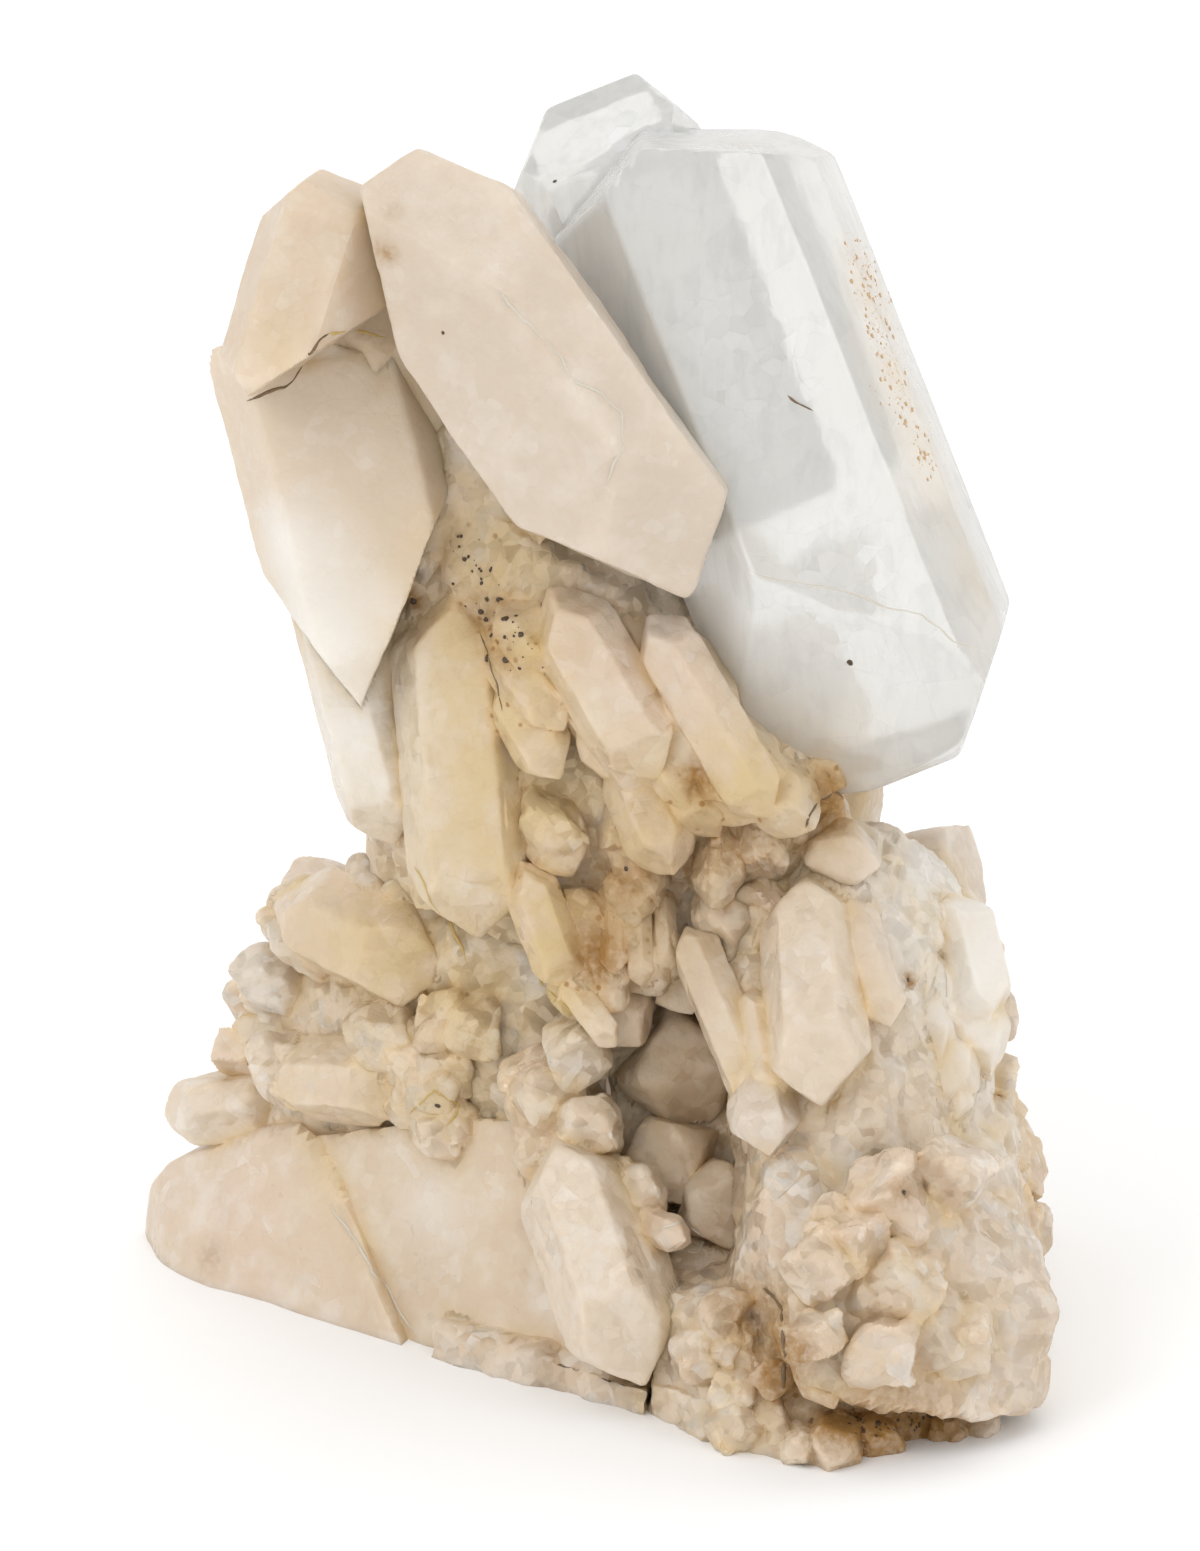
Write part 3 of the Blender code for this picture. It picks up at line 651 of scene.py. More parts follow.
class Dyer:
    """Works out where the stone is creased, pale, stained or given painted shade, and keeps it in the pieces'
    attributes.
    """

    crease_width = 1.1 * MM
    reach = 5.0 * MM
    eye_distance = 0.5

    def __init__(self, blocks: Sequence[Block], pieces: Sequence[bpy.types.Object]) -> None:
        """Takes all blocks, and joins the pieces in a tree that is asked for the frontmost place.

        Args:
            blocks: every crystal and rough block.
            pieces: the united objects.
        """
        self.blocks = blocks
        points, faces, start = [], [], 0
        for piece in pieces:
            mesh = piece.data
            mesh.calc_loop_triangles()
            corners = np.empty(len(mesh.loop_triangles) * 3, np.int32)
            mesh.loop_triangles.foreach_get("vertices", corners)
            found = points_of(mesh)
            points.append(found)
            faces.append(corners.reshape(-1, 3) + start)
            start += len(found)
        self.tree = BVHTree.FromPolygons(np.concatenate(points).tolist(), np.concatenate(faces).tolist())

    def touch(self, across: float, up: float) -> tuple[Vector, Vector] | None:
        """The frontmost place that is seen there and the outward direction at it, or None beside the stone."""
        eye = Vector(SIGHT.seen(across, up, SIGHT.middle[1]) + SIGHT.towards * self.eye_distance)
        place, normal, _, _ = self.tree.ray_cast(eye, Vector(-SIGHT.towards))
        return None if place is None else (place, normal)

    def creases(self, points: Array) -> tuple[Array, Array, Array]:
        """How near each point lies to a second block: the distances to all blocks' faces are compared, and
        the second smallest falls off as a bell curve.

        Args:
            points: places in metres.

        Returns:
            Numbers from 0 to 1, where 1 is a crease, and the tone and the chips of the nearest block, also
            from 0 to 1.
        """
        nearest = np.full(len(points), 1.0)
        second = np.full(len(points), 1.0)
        tone, chipped = np.zeros(len(points)), np.zeros(len(points))
        for block in self.blocks:
            span = np.linalg.norm(block.spread) + self.reach
            near = np.flatnonzero(np.abs(points - block.centre).max(axis=1) < span)
            if not len(near):
                continue
            apart = np.abs(block.distance(points[near]))
            second[near] = np.minimum(second[near], np.maximum(apart, nearest[near]))
            tone[near] = np.where(apart < nearest[near], block.seed % 97 / 96.0, tone[near])
            chipped[near] = np.where(apart < nearest[near], block.surface.chipped, chipped[near])
            nearest[near] = np.minimum(nearest[near], apart)
        return np.exp(-((second / self.crease_width) ** 1.2)), tone, chipped

    def dye(self, piece: bpy.types.Object) -> None:
        """Writes every tint's attribute into the piece's mesh."""
        points = points_of(piece.data)
        amounts = {tint: np.zeros(len(points)) for tint in Tint}
        amounts[Tint.CREASE], amounts[Tint.TONE], amounts[Tint.CHIPPED] = self.creases(points)
        for tint, (across, up, radius, amount) in (
            (tint, patch) for tint, patches in PATCHES.items() for patch in patches
        ):
            found = self.touch(across, up)
            if found is None:
                continue
            away = np.linalg.norm(points - np.array(found[0]), axis=1) / (radius * MM)
            amounts[tint] = 1.0 - (1.0 - amounts[tint]) * (1.0 - amount * np.exp(-0.5 * away**2))
        for tint, amount in amounts.items():
            layer = piece.data.attributes.new(tint.value, "FLOAT", "POINT")
            layer.data.foreach_set("value", amount.astype(np.float32))


class Wire:
    """A number that runs between a material's nodes, for use in Python expressions."""

    def __init__(self, bench: "NodeBench", socket: bpy.types.NodeSocket) -> None:
        """Wraps an output socket.

        Args:
            bench: the material's nodes.
            socket: the output that the number comes from.
        """
        self.bench = bench
        self.socket = socket

    def _math(self, operation: str, *values: Any) -> "Wire":
        """A Math node of this operation on these values."""
        return self.bench.add("ShaderNodeMath", {"operation": operation}, dict(enumerate(values)))

    def __add__(self, other: Any) -> "Wire":
        """The sum."""
        return self._math("ADD", self, other)

    __radd__ = __add__

    def __mul__(self, other: Any) -> "Wire":
        """The product."""
        return self._math("MULTIPLY", self, other)

    __rmul__ = __mul__

    def __sub__(self, other: Any) -> "Wire":
        """The difference."""
        return self._math("SUBTRACT", self, other)

    def __rsub__(self, other: Any) -> "Wire":
        """The difference the other way round."""
        return self._math("SUBTRACT", other, self)

    def highest(self, other: Any) -> "Wire":
        """The larger of the two."""
        return self._math("MAXIMUM", self, other)

    def step(self, low: float, high: float, to_low: float = 0.0, to_high: float = 1.0) -> "Wire":
        """A smooth step from to_low at low to to_high at high."""
        settings = {"interpolation_type": "SMOOTHSTEP"}
        return self.bench.add("ShaderNodeMapRange", settings, {0: self, 1: low, 2: high, 3: to_low, 4: to_high})


class NodeBench:
    """A new material's nodes."""

    roughness = 0.55

    def __init__(self, name: str) -> None:
        """Makes the material, with a Principled shader."""
        self.material = bpy.data.materials.new(name)
        self.material.use_nodes = True
        self.tree = self.material.node_tree
        self.shader = self.tree.nodes["Principled BSDF"]
        self.shader.subsurface_method = "BURLEY"

    def put(self, socket: bpy.types.NodeSocket, value: Any) -> None:
        """Gives an input its value, or links it."""
        if isinstance(value, Wire):
            self.tree.links.new(value.socket, socket)
        elif socket.type == "RGBA":
            socket.default_value = (*value, 1.0)
        else:
            socket.default_value = value

    def add(self, kind: str, settings: dict[str, Any], values: dict[Any, Any], output: Any = 0) -> Wire:
        """A new node.

        Args:
            kind: the node's type.
            settings: its settings, which are set first.
            values: the values or links of its inputs, by name or number.
            output: which output is returned.

        Returns:
            The output.
        """
        node = self.tree.nodes.new(kind)
        for setting, value in settings.items():
            setattr(node, setting, value)
        for key, value in values.items():
            self.put(node.inputs[key], value)
        return Wire(self, node.outputs[output])

    def place(self) -> Wire:
        """The Object coordinates."""
        return self.add("ShaderNodeTexCoord", {}, {}, "Object")

    def noise(self, where: Any, size: float, detail: float = 3.0) -> Wire:
        """Noise from 0 to 1 whose hills are about this many millimetres wide."""
        values = {"Vector": where, "Scale": 1.0 / (size * MM), "Detail": detail, "Roughness": self.roughness}
        return self.add("ShaderNodeTexNoise", {}, values, "Fac")

    def cells(self, where: Any, size: float) -> Wire:
        """The distance from the middles of cells about this many millimetres wide."""
        return self.add("ShaderNodeTexVoronoi", {}, {"Vector": where, "Scale": 1.0 / (size * MM)}, "Distance")

    def chips(self, where: Any, size: float) -> tuple[Wire, Wire]:
        """Flat chips that meet in sharp edges: a cell's height is the dot product of the way from its
        middle and its random colour less a half.

        Args:
            where: coordinates.
            size: how wide a chip is, in millimetres.

        Returns:
            The height in chip widths and a random number for each chip, both about a middle of nought.
        """
        node = self.tree.nodes.new("ShaderNodeTexVoronoi")
        self.put(node.inputs["Vector"], where)
        self.put(node.inputs["Scale"], 1.0 / (size * MM))
        position, colour = Wire(self, node.outputs["Position"]), Wire(self, node.outputs["Color"])
        away = self.add("ShaderNodeVectorMath", {"operation": "SUBTRACT"}, {0: where, 1: position})
        leaning = self.add("ShaderNodeVectorMath", {"operation": "SUBTRACT"}, {0: colour, 1: (0.5, 0.5, 0.5)})
        height = self.add("ShaderNodeVectorMath", {"operation": "DOT_PRODUCT"}, {0: away, 1: leaning}, "Value")
        shade = self.add("ShaderNodeSeparateColor", {}, {"Color": colour})
        return height * (1.0 / (size * MM)), shade - 0.5

    def tint(self, tint: Tint) -> Wire:
        """The amount of a tint that is kept in the mesh."""
        return self.add("ShaderNodeAttribute", {"attribute_name": tint.value}, {}, "Fac")

    def blend(self, share: Any, first: Any, second: Any) -> Wire:
        """A colour between two colours."""
        return self.add("ShaderNodeMix", {"data_type": "RGBA"}, {0: share, 6: first, 7: second}, 2)

    def bump(self, height: Any, distance: float = 1.0) -> None:
        """Turns the shader's normal by this height, which counts in this many millimetres."""
        values = {"Height": height, "Distance": distance * MM, "Strength": 1.0}
        self.put(self.shader.inputs["Normal"], self.add("ShaderNodeBump", {}, values))

    def set(self, **values: Any) -> None:
        """Gives the shader's inputs their values: an underscore stands for a space in an input's name."""
        for key, value in values.items():
            self.put(self.shader.inputs[key.replace("_", " ")], value)


@dataclass(frozen=True)
class MilkyQuartz:
    """Cream quartz that light goes a little way into, with pink, grey, yellow and brown places, painted shade
    in its creases and in the recess in the middle, painted light at the rims, and chips painted lighter and
    darker as internal reflections.
    """

    name: str = "milky_quartz"
    cream: Colour = (0.655, 0.525, 0.385)
    pink: Colour = (0.65, 0.505, 0.385)
    grey: Colour = (0.60, 0.515, 0.42)
    # The colour of whiter quartz, of the painted light at the rims and of the lightened chips.
    pale: Colour = (0.80, 0.765, 0.71)
    # The colour that chips are darkened towards, as painted internal shade.
    deep: Colour = (0.64, 0.50, 0.34)
    yellow: Colour = (0.60, 0.44, 0.205)
    brown: Colour = (0.34, 0.18, 0.05)
    # The brownish grey of the painted shade in the recess.
    smoke: Colour = (0.36, 0.235, 0.125)
    depth: float = 1.6
    veiled: float = 0.4

    def material(self) -> bpy.types.Material:
        """Its material."""
        bench = NodeBench(self.name)
        where = bench.place()
        broad = bench.noise(where, 22.0, 2.0)
        cloud = bench.noise(where, 5.0, 3.0)
        grain = bench.noise(where, 0.7, 2.0)
        flecks = bench.cells(where, 1.6)
        coarse_chips, coarse_shade = bench.chips(where, 3.4)
        fine_chips, fine_shade = bench.chips(where, 1.3)
        chipped = bench.tint(Tint.CHIPPED)
        # Painted light and shade: at random some chips are lightened towards the pale colour and others
        # darkened towards the deep colour, standing for internal reflections.
        shade = (coarse_shade * 0.6 + fine_shade * 0.4) * (chipped * 0.5 + 0.3)
        crease, pale, tone = bench.tint(Tint.CREASE), bench.tint(Tint.PALE), bench.tint(Tint.TONE)
        yellow, brown, smoke = bench.tint(Tint.YELLOW), bench.tint(Tint.BROWN), bench.tint(Tint.SMOKE)
        body = bench.blend((broad - 0.5 + tone * 0.5).step(0.1, 0.5), self.cream, self.pink)
        body = bench.blend((tone * 3.0 - cloud).step(1.6, 2.3, 0.0, 0.7), body, self.grey)
        body = bench.blend(shade.step(0.0, 0.5, 0.0, 0.8), body, self.pale)
        body = bench.blend((0.0 - shade).step(0.0, 0.5, 0.0, 0.8), body, self.deep)
        # Veils and pale places: whiter quartz, and painted light at the rims.
        veil = (cloud.step(0.4, 0.75) * self.veiled).highest(pale * 0.95)
        body = bench.blend(veil.highest((1.0 - tone * 4.0).step(0.2, 1.0, 0.0, 0.2)), body, self.pale)
        # Creases between crystals turn yellow and take rust flecks: partly iron stain, partly painted shade.
        crease_stain_and_shade = crease * cloud.step(0.3, 0.6, 0.2, 0.9)
        body = bench.blend((yellow * cloud.step(0.3, 0.6, 0.35, 1.0)).highest(crease_stain_and_shade * 0.75), body, self.yellow)
        # Painted shade: the recess in the middle darkens to a brownish grey.
        body = bench.blend(smoke * cloud.step(0.25, 0.65, 1.0, 0.6), body, self.smoke)
        rust = brown * (grain * 0.5 + cloud * 0.5).step(0.35, 0.6, 0.6, 1.0)
        rust = rust + crease_stain_and_shade * flecks.step(0.25, 0.1) * yellow.highest(brown)
        body = bench.blend(rust.step(0.02, 0.8), body, self.brown)
        bench.set(
            Base_Color=body,
            Roughness=cloud.step(0.3, 0.7, 0.3, 0.45) + crease * 0.2 - fine_shade * chipped * 0.35,
            IOR=QUARTZ_IOR,
            Subsurface_Weight=0.7,
            Subsurface_Radius=(1.0, 0.8, 0.6),
            Subsurface_Scale=self.depth * MM,
        )
        bench.bump((coarse_chips * 3.2 + fine_chips * 1.3) * chipped + grain * 0.1)
        return bench.material


CREAM_QUARTZ = MilkyQuartz(
    "cream_quartz", cream=(0.625, 0.495, 0.355), pink=(0.62, 0.48, 0.355), depth=4.0, veiled=0.25
)


@dataclass(frozen=True)
class ClearQuartz:
    """Glassy quartz with milky veils in it, which lets about half of the light straight through."""

    name: str = "clear_quartz"
    body: Colour = (0.93, 0.92, 0.885)
    milky: Colour = (0.95, 0.95, 0.935)
    warm: Colour = (0.87, 0.71, 0.51)
    grey: Colour = (0.77, 0.77, 0.75)
    fracture: Colour = (1.0, 1.0, 1.0)
    lean: Place = (0.0, math.radians(21.6), 0.0)
    through: float = 0.5

    def material(self) -> bpy.types.Material:
        """Its material."""
        bench = NodeBench(self.name)
        where = bench.place()
        cloud = bench.noise(where, 7.0, 3.0)
        grain = bench.noise(where, 1.2, 2.0)
        stretched = {"Vector": where, "Rotation": self.lean, "Scale": (1.0, 1.0, 0.1)}
        along = bench.add("ShaderNodeMapping", {}, stretched)
        streaks = bench.noise(along, 1.6, 3.0)
        chips, shade = bench.chips(where, 5.0)
        flaws, flaw_shade = bench.chips(where, 1.9)
        pale, yellow = bench.tint(Tint.PALE), bench.tint(Tint.YELLOW)
        body = bench.blend((cloud.step(0.35, 0.7) * 0.6).highest(pale), self.body, self.milky)
        body = bench.blend((streaks + shade * 0.25).step(0.45, 0.75, 0.0, 0.5), body, self.grey)
        flawed = pale * cloud.step(0.35, 0.55)
        body = bench.blend(flawed * flaw_shade.step(0.05, 0.5), body, self.fracture)
        body = bench.blend(flawed * (0.0 - flaw_shade).step(0.1, 0.5, 0.0, 0.6), body, self.grey)
        body = bench.blend(yellow * cloud.step(0.3, 0.6, 0.4, 1.0), body, self.warm)
        bench.set(
            Base_Color=body,
            Roughness=bench.noise(where, 16.0, 1.0).step(0.3, 0.7, 0.12, 0.26),
            IOR=QUARTZ_IOR,
            Transmission_Weight=self.through,
        )
        bench.bump(chips * 0.12 + streaks * 0.1 + grain * 0.02 + flaws * flawed * 0.5)
        return bench.material


@dataclass(frozen=True)
class Plain:
    """A small dark or rusty thing that sits on the stone: its colour varies with grain."""

    name: str
    light: Colour
    dark: Colour
    roughness: float

    def material(self) -> bpy.types.Material:
        """Its material."""
        bench = NodeBench(self.name)
        grain = bench.noise(bench.place(), 0.35, 3.0)
        bench.set(Base_Color=bench.blend(grain, self.dark, self.light), Roughness=self.roughness)
        bench.bump(grain, 0.05)
        return bench.material


def take_in(piece: bpy.types.Object, material: bpy.types.Material) -> bpy.types.Object:
    """Dresses a piece, and says that it rides on the body and stands for the solid.

    Args:
        piece: the finished object, in the scene.
        material: its finish.

    Returns:
        The same object.
    """
    piece.data.materials.clear()
    piece.data.materials.append(material)
    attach(piece, BODY)
    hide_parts(NODE)
    LOG.info("%s: %d vertices, %d faces", piece.name, len(piece.data.vertices), len(piece.data.polygons))
    return piece


@dataclass
class Growth:
    """What grew together and is united in one piece. The kinds below hold their own blocks.

    Attributes:
        name: what the piece is called.
        grid: how many times wider its grids are than its surfaces ask for.
    """

    name: str = "growth"
    piece: bpy.types.Object | None = field(default=None, init=False)
    grid = 1.0

    def blocks(self) -> list[Block]:
        """Every crystal and rough block in it."""
        raise NotImplementedError

    def grow(self, mason: Mason, coarse: float) -> bpy.types.Object:
        """Builds the united piece and returns it."""
        self.piece = mason.unite(self.name, self.blocks(), coarse * self.grid)
        return self.piece


@dataclass
class LargeCrystal(Growth):
    """One of the five large crystals.

    Attributes:
        centre: its middle, as (across, up, back).
        lean: how far its top leans to the left, in degrees.
        faces: its faces as (facing, slope, reach).
        surface: how its faces are finished.
    """

    centre: Place = (0.0, 0.0, 0.0)
    lean: float = 0.0
    faces: tuple[Place, ...] = ()
    surface: Surface = Surface.CREAM

    def blocks(self) -> list[Block]:
        """The crystal alone."""
        return [large_crystal(self.name, self.centre, self.lean, self.faces, self.surface)]


CLEAR_MAIN = LargeCrystal("clear_main", (19.2, 101.5, 48.0), 21.6, (
    (0.0, 0.0, 11.0), (60.0, 0.0, 12.8), (78.0, 0.0, 13.5), (120.0, 0.0, 17.0),
    (180.0, 0.0, 10.5), (240.0, 0.0, 14.0), (300.0, 0.0, 12.3),
    (70.7, 64.8, 31.7), (78.3, 47.5, 29.1), (280.0, 60.0, 32.2), (180.0, 50.0, 31.0),
    (332.1, -29.6, 16.4), (0.0, -78.0, 32.3), (90.0, -40.0, 25.2), (180.0, -45.0, 26.0),
), Surface.GLASSY)

CLEAR_BEHIND = LargeCrystal("clear_behind", (5.5, 119.8, 60.9), 21.6, (
    (0.0, 0.0, 6.0), (60.0, 0.0, 8.6), (120.0, 0.0, 8.6), (180.0, 0.0, 6.0),
    (240.0, 0.0, 8.8), (300.0, 0.0, 8.8),
    (270.0, 43.6, 16.5), (90.0, 29.0, 14.8), (0.0, 85.0, 20.2), (0.0, 45.0, 12.9), (180.0, 45.0, 15.5),
    (0.0, -60.0, 24.0), (180.0, -38.2, 15.0),
), Surface.GLASSY)

DIAGONAL = LargeCrystal("diagonal", (-6.4, 108.9, 37.5), 35.0, (
    (25.0, 0.0, 9.0), (85.0, 0.0, 9.6), (145.0, 0.0, 9.0), (205.0, 0.0, 8.5), (265.0, 0.0, 9.6),
    (325.0, 0.0, 5.3),
    (270.0, 22.0, 12.6), (90.0, 33.0, 17.5), (180.0, 80.0, 25.4), (5.0, 20.0, 11.1), (180.0, 38.2, 19.0),
    (90.0, -53.8, 21.5), (270.0, -32.0, 13.6), (0.0, -35.0, 13.0), (180.0, -38.2, 18.0),
))

LEFT_UPPER = LargeCrystal("left_upper", (-29.5, 118.7, 47.0), -17.2, (
    (345.0, 0.0, 6.0), (45.0, 0.0, 7.0), (105.0, 0.0, 8.5), (165.0, 0.0, 7.0), (225.0, 0.0, 6.5),
    (285.0, 0.0, 5.3),
    (270.0, 35.0, 8.4), (20.0, 72.0, 10.4), (345.0, 38.2, 9.5), (180.0, 38.2, 9.5),
    (270.0, -53.0, 10.8), (90.0, -39.5, 6.1), (180.0, -38.2, 9.0),
))

LEFT_LOWER = LargeCrystal("left_lower", (-25.5, 91.7, 50.0), 14.0, (
    (355.0, 0.0, 6.5), (60.0, 0.0, 12.0), (115.0, 0.0, 12.0), (175.0, 0.0, 7.0), (235.0, 0.0, 8.0),
    (295.0, 0.0, 7.0),
    (0.0, 60.0, 20.5), (180.0, 45.0, 17.0),
    (90.0, -36.0, 7.1), (270.0, -22.7, 7.6), (0.0, -38.2, 11.0), (180.0, -38.2, 11.0),
))


@dataclass
class Mass(Growth):
    """Middle-sized crystals, groups of small ones and rough blocks, grown together.

    Attributes:
        crystals: (name, tail, tip, width, thickness, turn) of each middle-sized crystal.
        rough: (name, corners, foot) of each rough block.
        druses: the groups of small crystals.
        turned: whether the crystals are on the side that is turned away, as (across, back, height).
        grid: how many times wider its grids are than its surfaces ask for.
    """

    crystals: tuple[tuple[Any, ...], ...] = ()
    rough: tuple[tuple[Any, ...], ...] = ()
    druses: tuple[Druse, ...] = ()
    turned: bool = False
    grid: float = 1.0

    def blocks(self) -> list[Block]:
        """All of them, the rough blocks first."""
        found = [rough_block(*block) for block in self.rough]
        place = SIGHT.standing if self.turned else SIGHT.seen
        for name, tail, tip, wide, thick, turn in self.crystals:
            found.append(crystal(name, place(*tail), place(*tip), wide, thick, turn))
        for druse in self.druses:
            found += druse.crystals()
        return found


NECK = Mass("neck_crystals", (
    ("hanging", (-15.5, 94.0, 52.0), (-11.9, 50.4, 38.5), 11.4, 10.5, 5.0),
    ("left_band", (-29.5, 98.0, 55.0), (-19.8, 60.5, 47.0), 8.5, 9.0, 20.0),
    ("under_diagonal", (-6.5, 91.0, 42.0), (6.8, 68.0, 34.5), 8.4, 8.0, 10.0),
    ("under_clear", (4.0, 88.0, 40.0), (17.8, 64.3, 33.0), 6.2, 6.0, 25.0),
    ("small_yellow", (-8.5, 63.0, 39.0), (-2.6, 47.2, 35.0), 5.0, 5.0, 0.0),
    ("small_light", (-4.0, 50.5, 36.5), (2.0, 42.4, 31.0), 2.8, 2.8, 30.0),
    ("small_tip", (8.5, 73.0, 40.0), (13.6, 66.8, 33.0), 3.6, 3.6, 0.0),
    ("knob", (18.5, 64.0, 44.0), (29.5, 60.5, 36.0), 6.0, 8.0, 15.0),
    ("olive_knob", (11.0, 76.0, 44.0), (19.5, 67.5, 35.0), 6.0, 6.0, 20.0),
    ("olive_side", (19.0, 76.0, 46.0), (25.5, 67.6, 38.0), 5.6, 5.5, 40.0),
    ("olive_end", (25.0, 76.0, 50.0), (29.4, 68.8, 43.0), 5.0, 5.0, 10.0),
    ("striped_left", (1.2, 61.0, 41.0), (1.6, 49.6, 33.5), 2.6, 2.8, 0.0),
    ("striped_middle", (3.6, 61.0, 41.0), (4.2, 48.4, 33.5), 2.4, 2.8, 25.0),
    ("striped_right", (6.0, 60.0, 41.0), (6.8, 49.4, 34.5), 2.3, 2.8, 10.0),
    ("throat_left", (0.0, 51.0, 42.0), (4.6, 41.6, 34.0), 6.4, 6.0, 30.0),
    ("throat_middle", (6.5, 53.0, 42.0), (9.6, 44.8, 35.0), 6.0, 6.0, 15.0),
    ("throat_right", (13.0, 52.0, 42.0), (14.6, 41.0, 34.0), 5.0, 5.0, 0.0),
    # The recessed crystal in the middle: its dark brownish colour is painted shade, not smoky quartz.
    ("smoky_back", (6.0, 52.0, 47.0), (10.0, 31.0, 38.0), 13.0, 10.0, 0.0),
), (
    ("neck", (
        (-23.0, 60.0, 54.0), (-24.0, 71.5, 53.0), (-24.0, 80.0, 53.0), (-17.0, 88.0, 48.0),
        (-14.0, 100.0, 49.0), (-5.0, 92.0, 44.0), (5.0, 86.0, 42.0), (14.0, 72.0, 38.0),
        (23.5, 69.0, 38.0), (27.0, 64.0, 42.0),
        (16.0, 56.0, 40.0), (8.0, 48.0, 40.0), (-4.0, 55.0, 41.0), (-18.0, 56.0, 46.0), (-12.0, 58.0, 42.0),
        (-20.0, 70.0, 68.0), (0.0, 74.0, 72.0), (22.0, 74.0, 66.0), (-14.0, 96.0, 60.0), (12.0, 94.0, 58.0),
    ), ()),
    ("recess", (
        (-13.0, 106.0, 50.0), (-22.0, 92.0, 50.0), (-4.0, 94.0, 45.0), (-8.0, 112.0, 54.0),
        (-24.0, 100.0, 54.0), (-16.0, 84.0, 48.0), (-8.0, 100.0, 62.0), (-20.0, 88.0, 62.0),
    ), ()),
), (
    Druse("neck_druse", 16,
          ((-13.0, 86.0, 43.0), (8.0, 84.0, 41.0), (-4.0, 64.0, 39.5), (18.0, 68.0, 37.0)),
          (0.6, -0.9, 0.2), 0.25, (13.0, 21.0), (5.0, 7.5)),
    Druse("throat_druse", 12,
          ((-8.0, 66.0, 41.0), (20.0, 66.0, 39.0), (-2.0, 48.0, 37.0), (10.0, 52.0, 38.0)),
          (0.2, -0.9, 0.35), 0.4, (10.0, 16.0), (4.5, 6.5), surface=Surface.LUMP),
), grid=1.12)

NECK_BACKING = Mass("neck_backing", (
    ("left_backing", (-10.0, 72.0, 60.0), (-23.0, 121.0, 59.0), 17.0, 13.0, 12.0),
    ("middle_backing", (2.0, 70.0, 60.0), (-6.0, 122.0, 60.0), 18.0, 15.0, 20.0),
    ("right_backing", (10.0, 60.0, 58.0), (27.0, 98.0, 64.0), 15.0, 13.0, 5.0),
), (), (
    Druse("back_neck_druse", 10,
          ((-18.0, 64.0, 44.0), (20.0, 62.0, 46.0), (-12.0, 58.0, 76.0), (12.0, 56.0, 78.0)),
          (0.0, 0.5, 0.9), 0.45, (22.0, 34.0), (9.0, 13.0), True),
), grid=1.9)

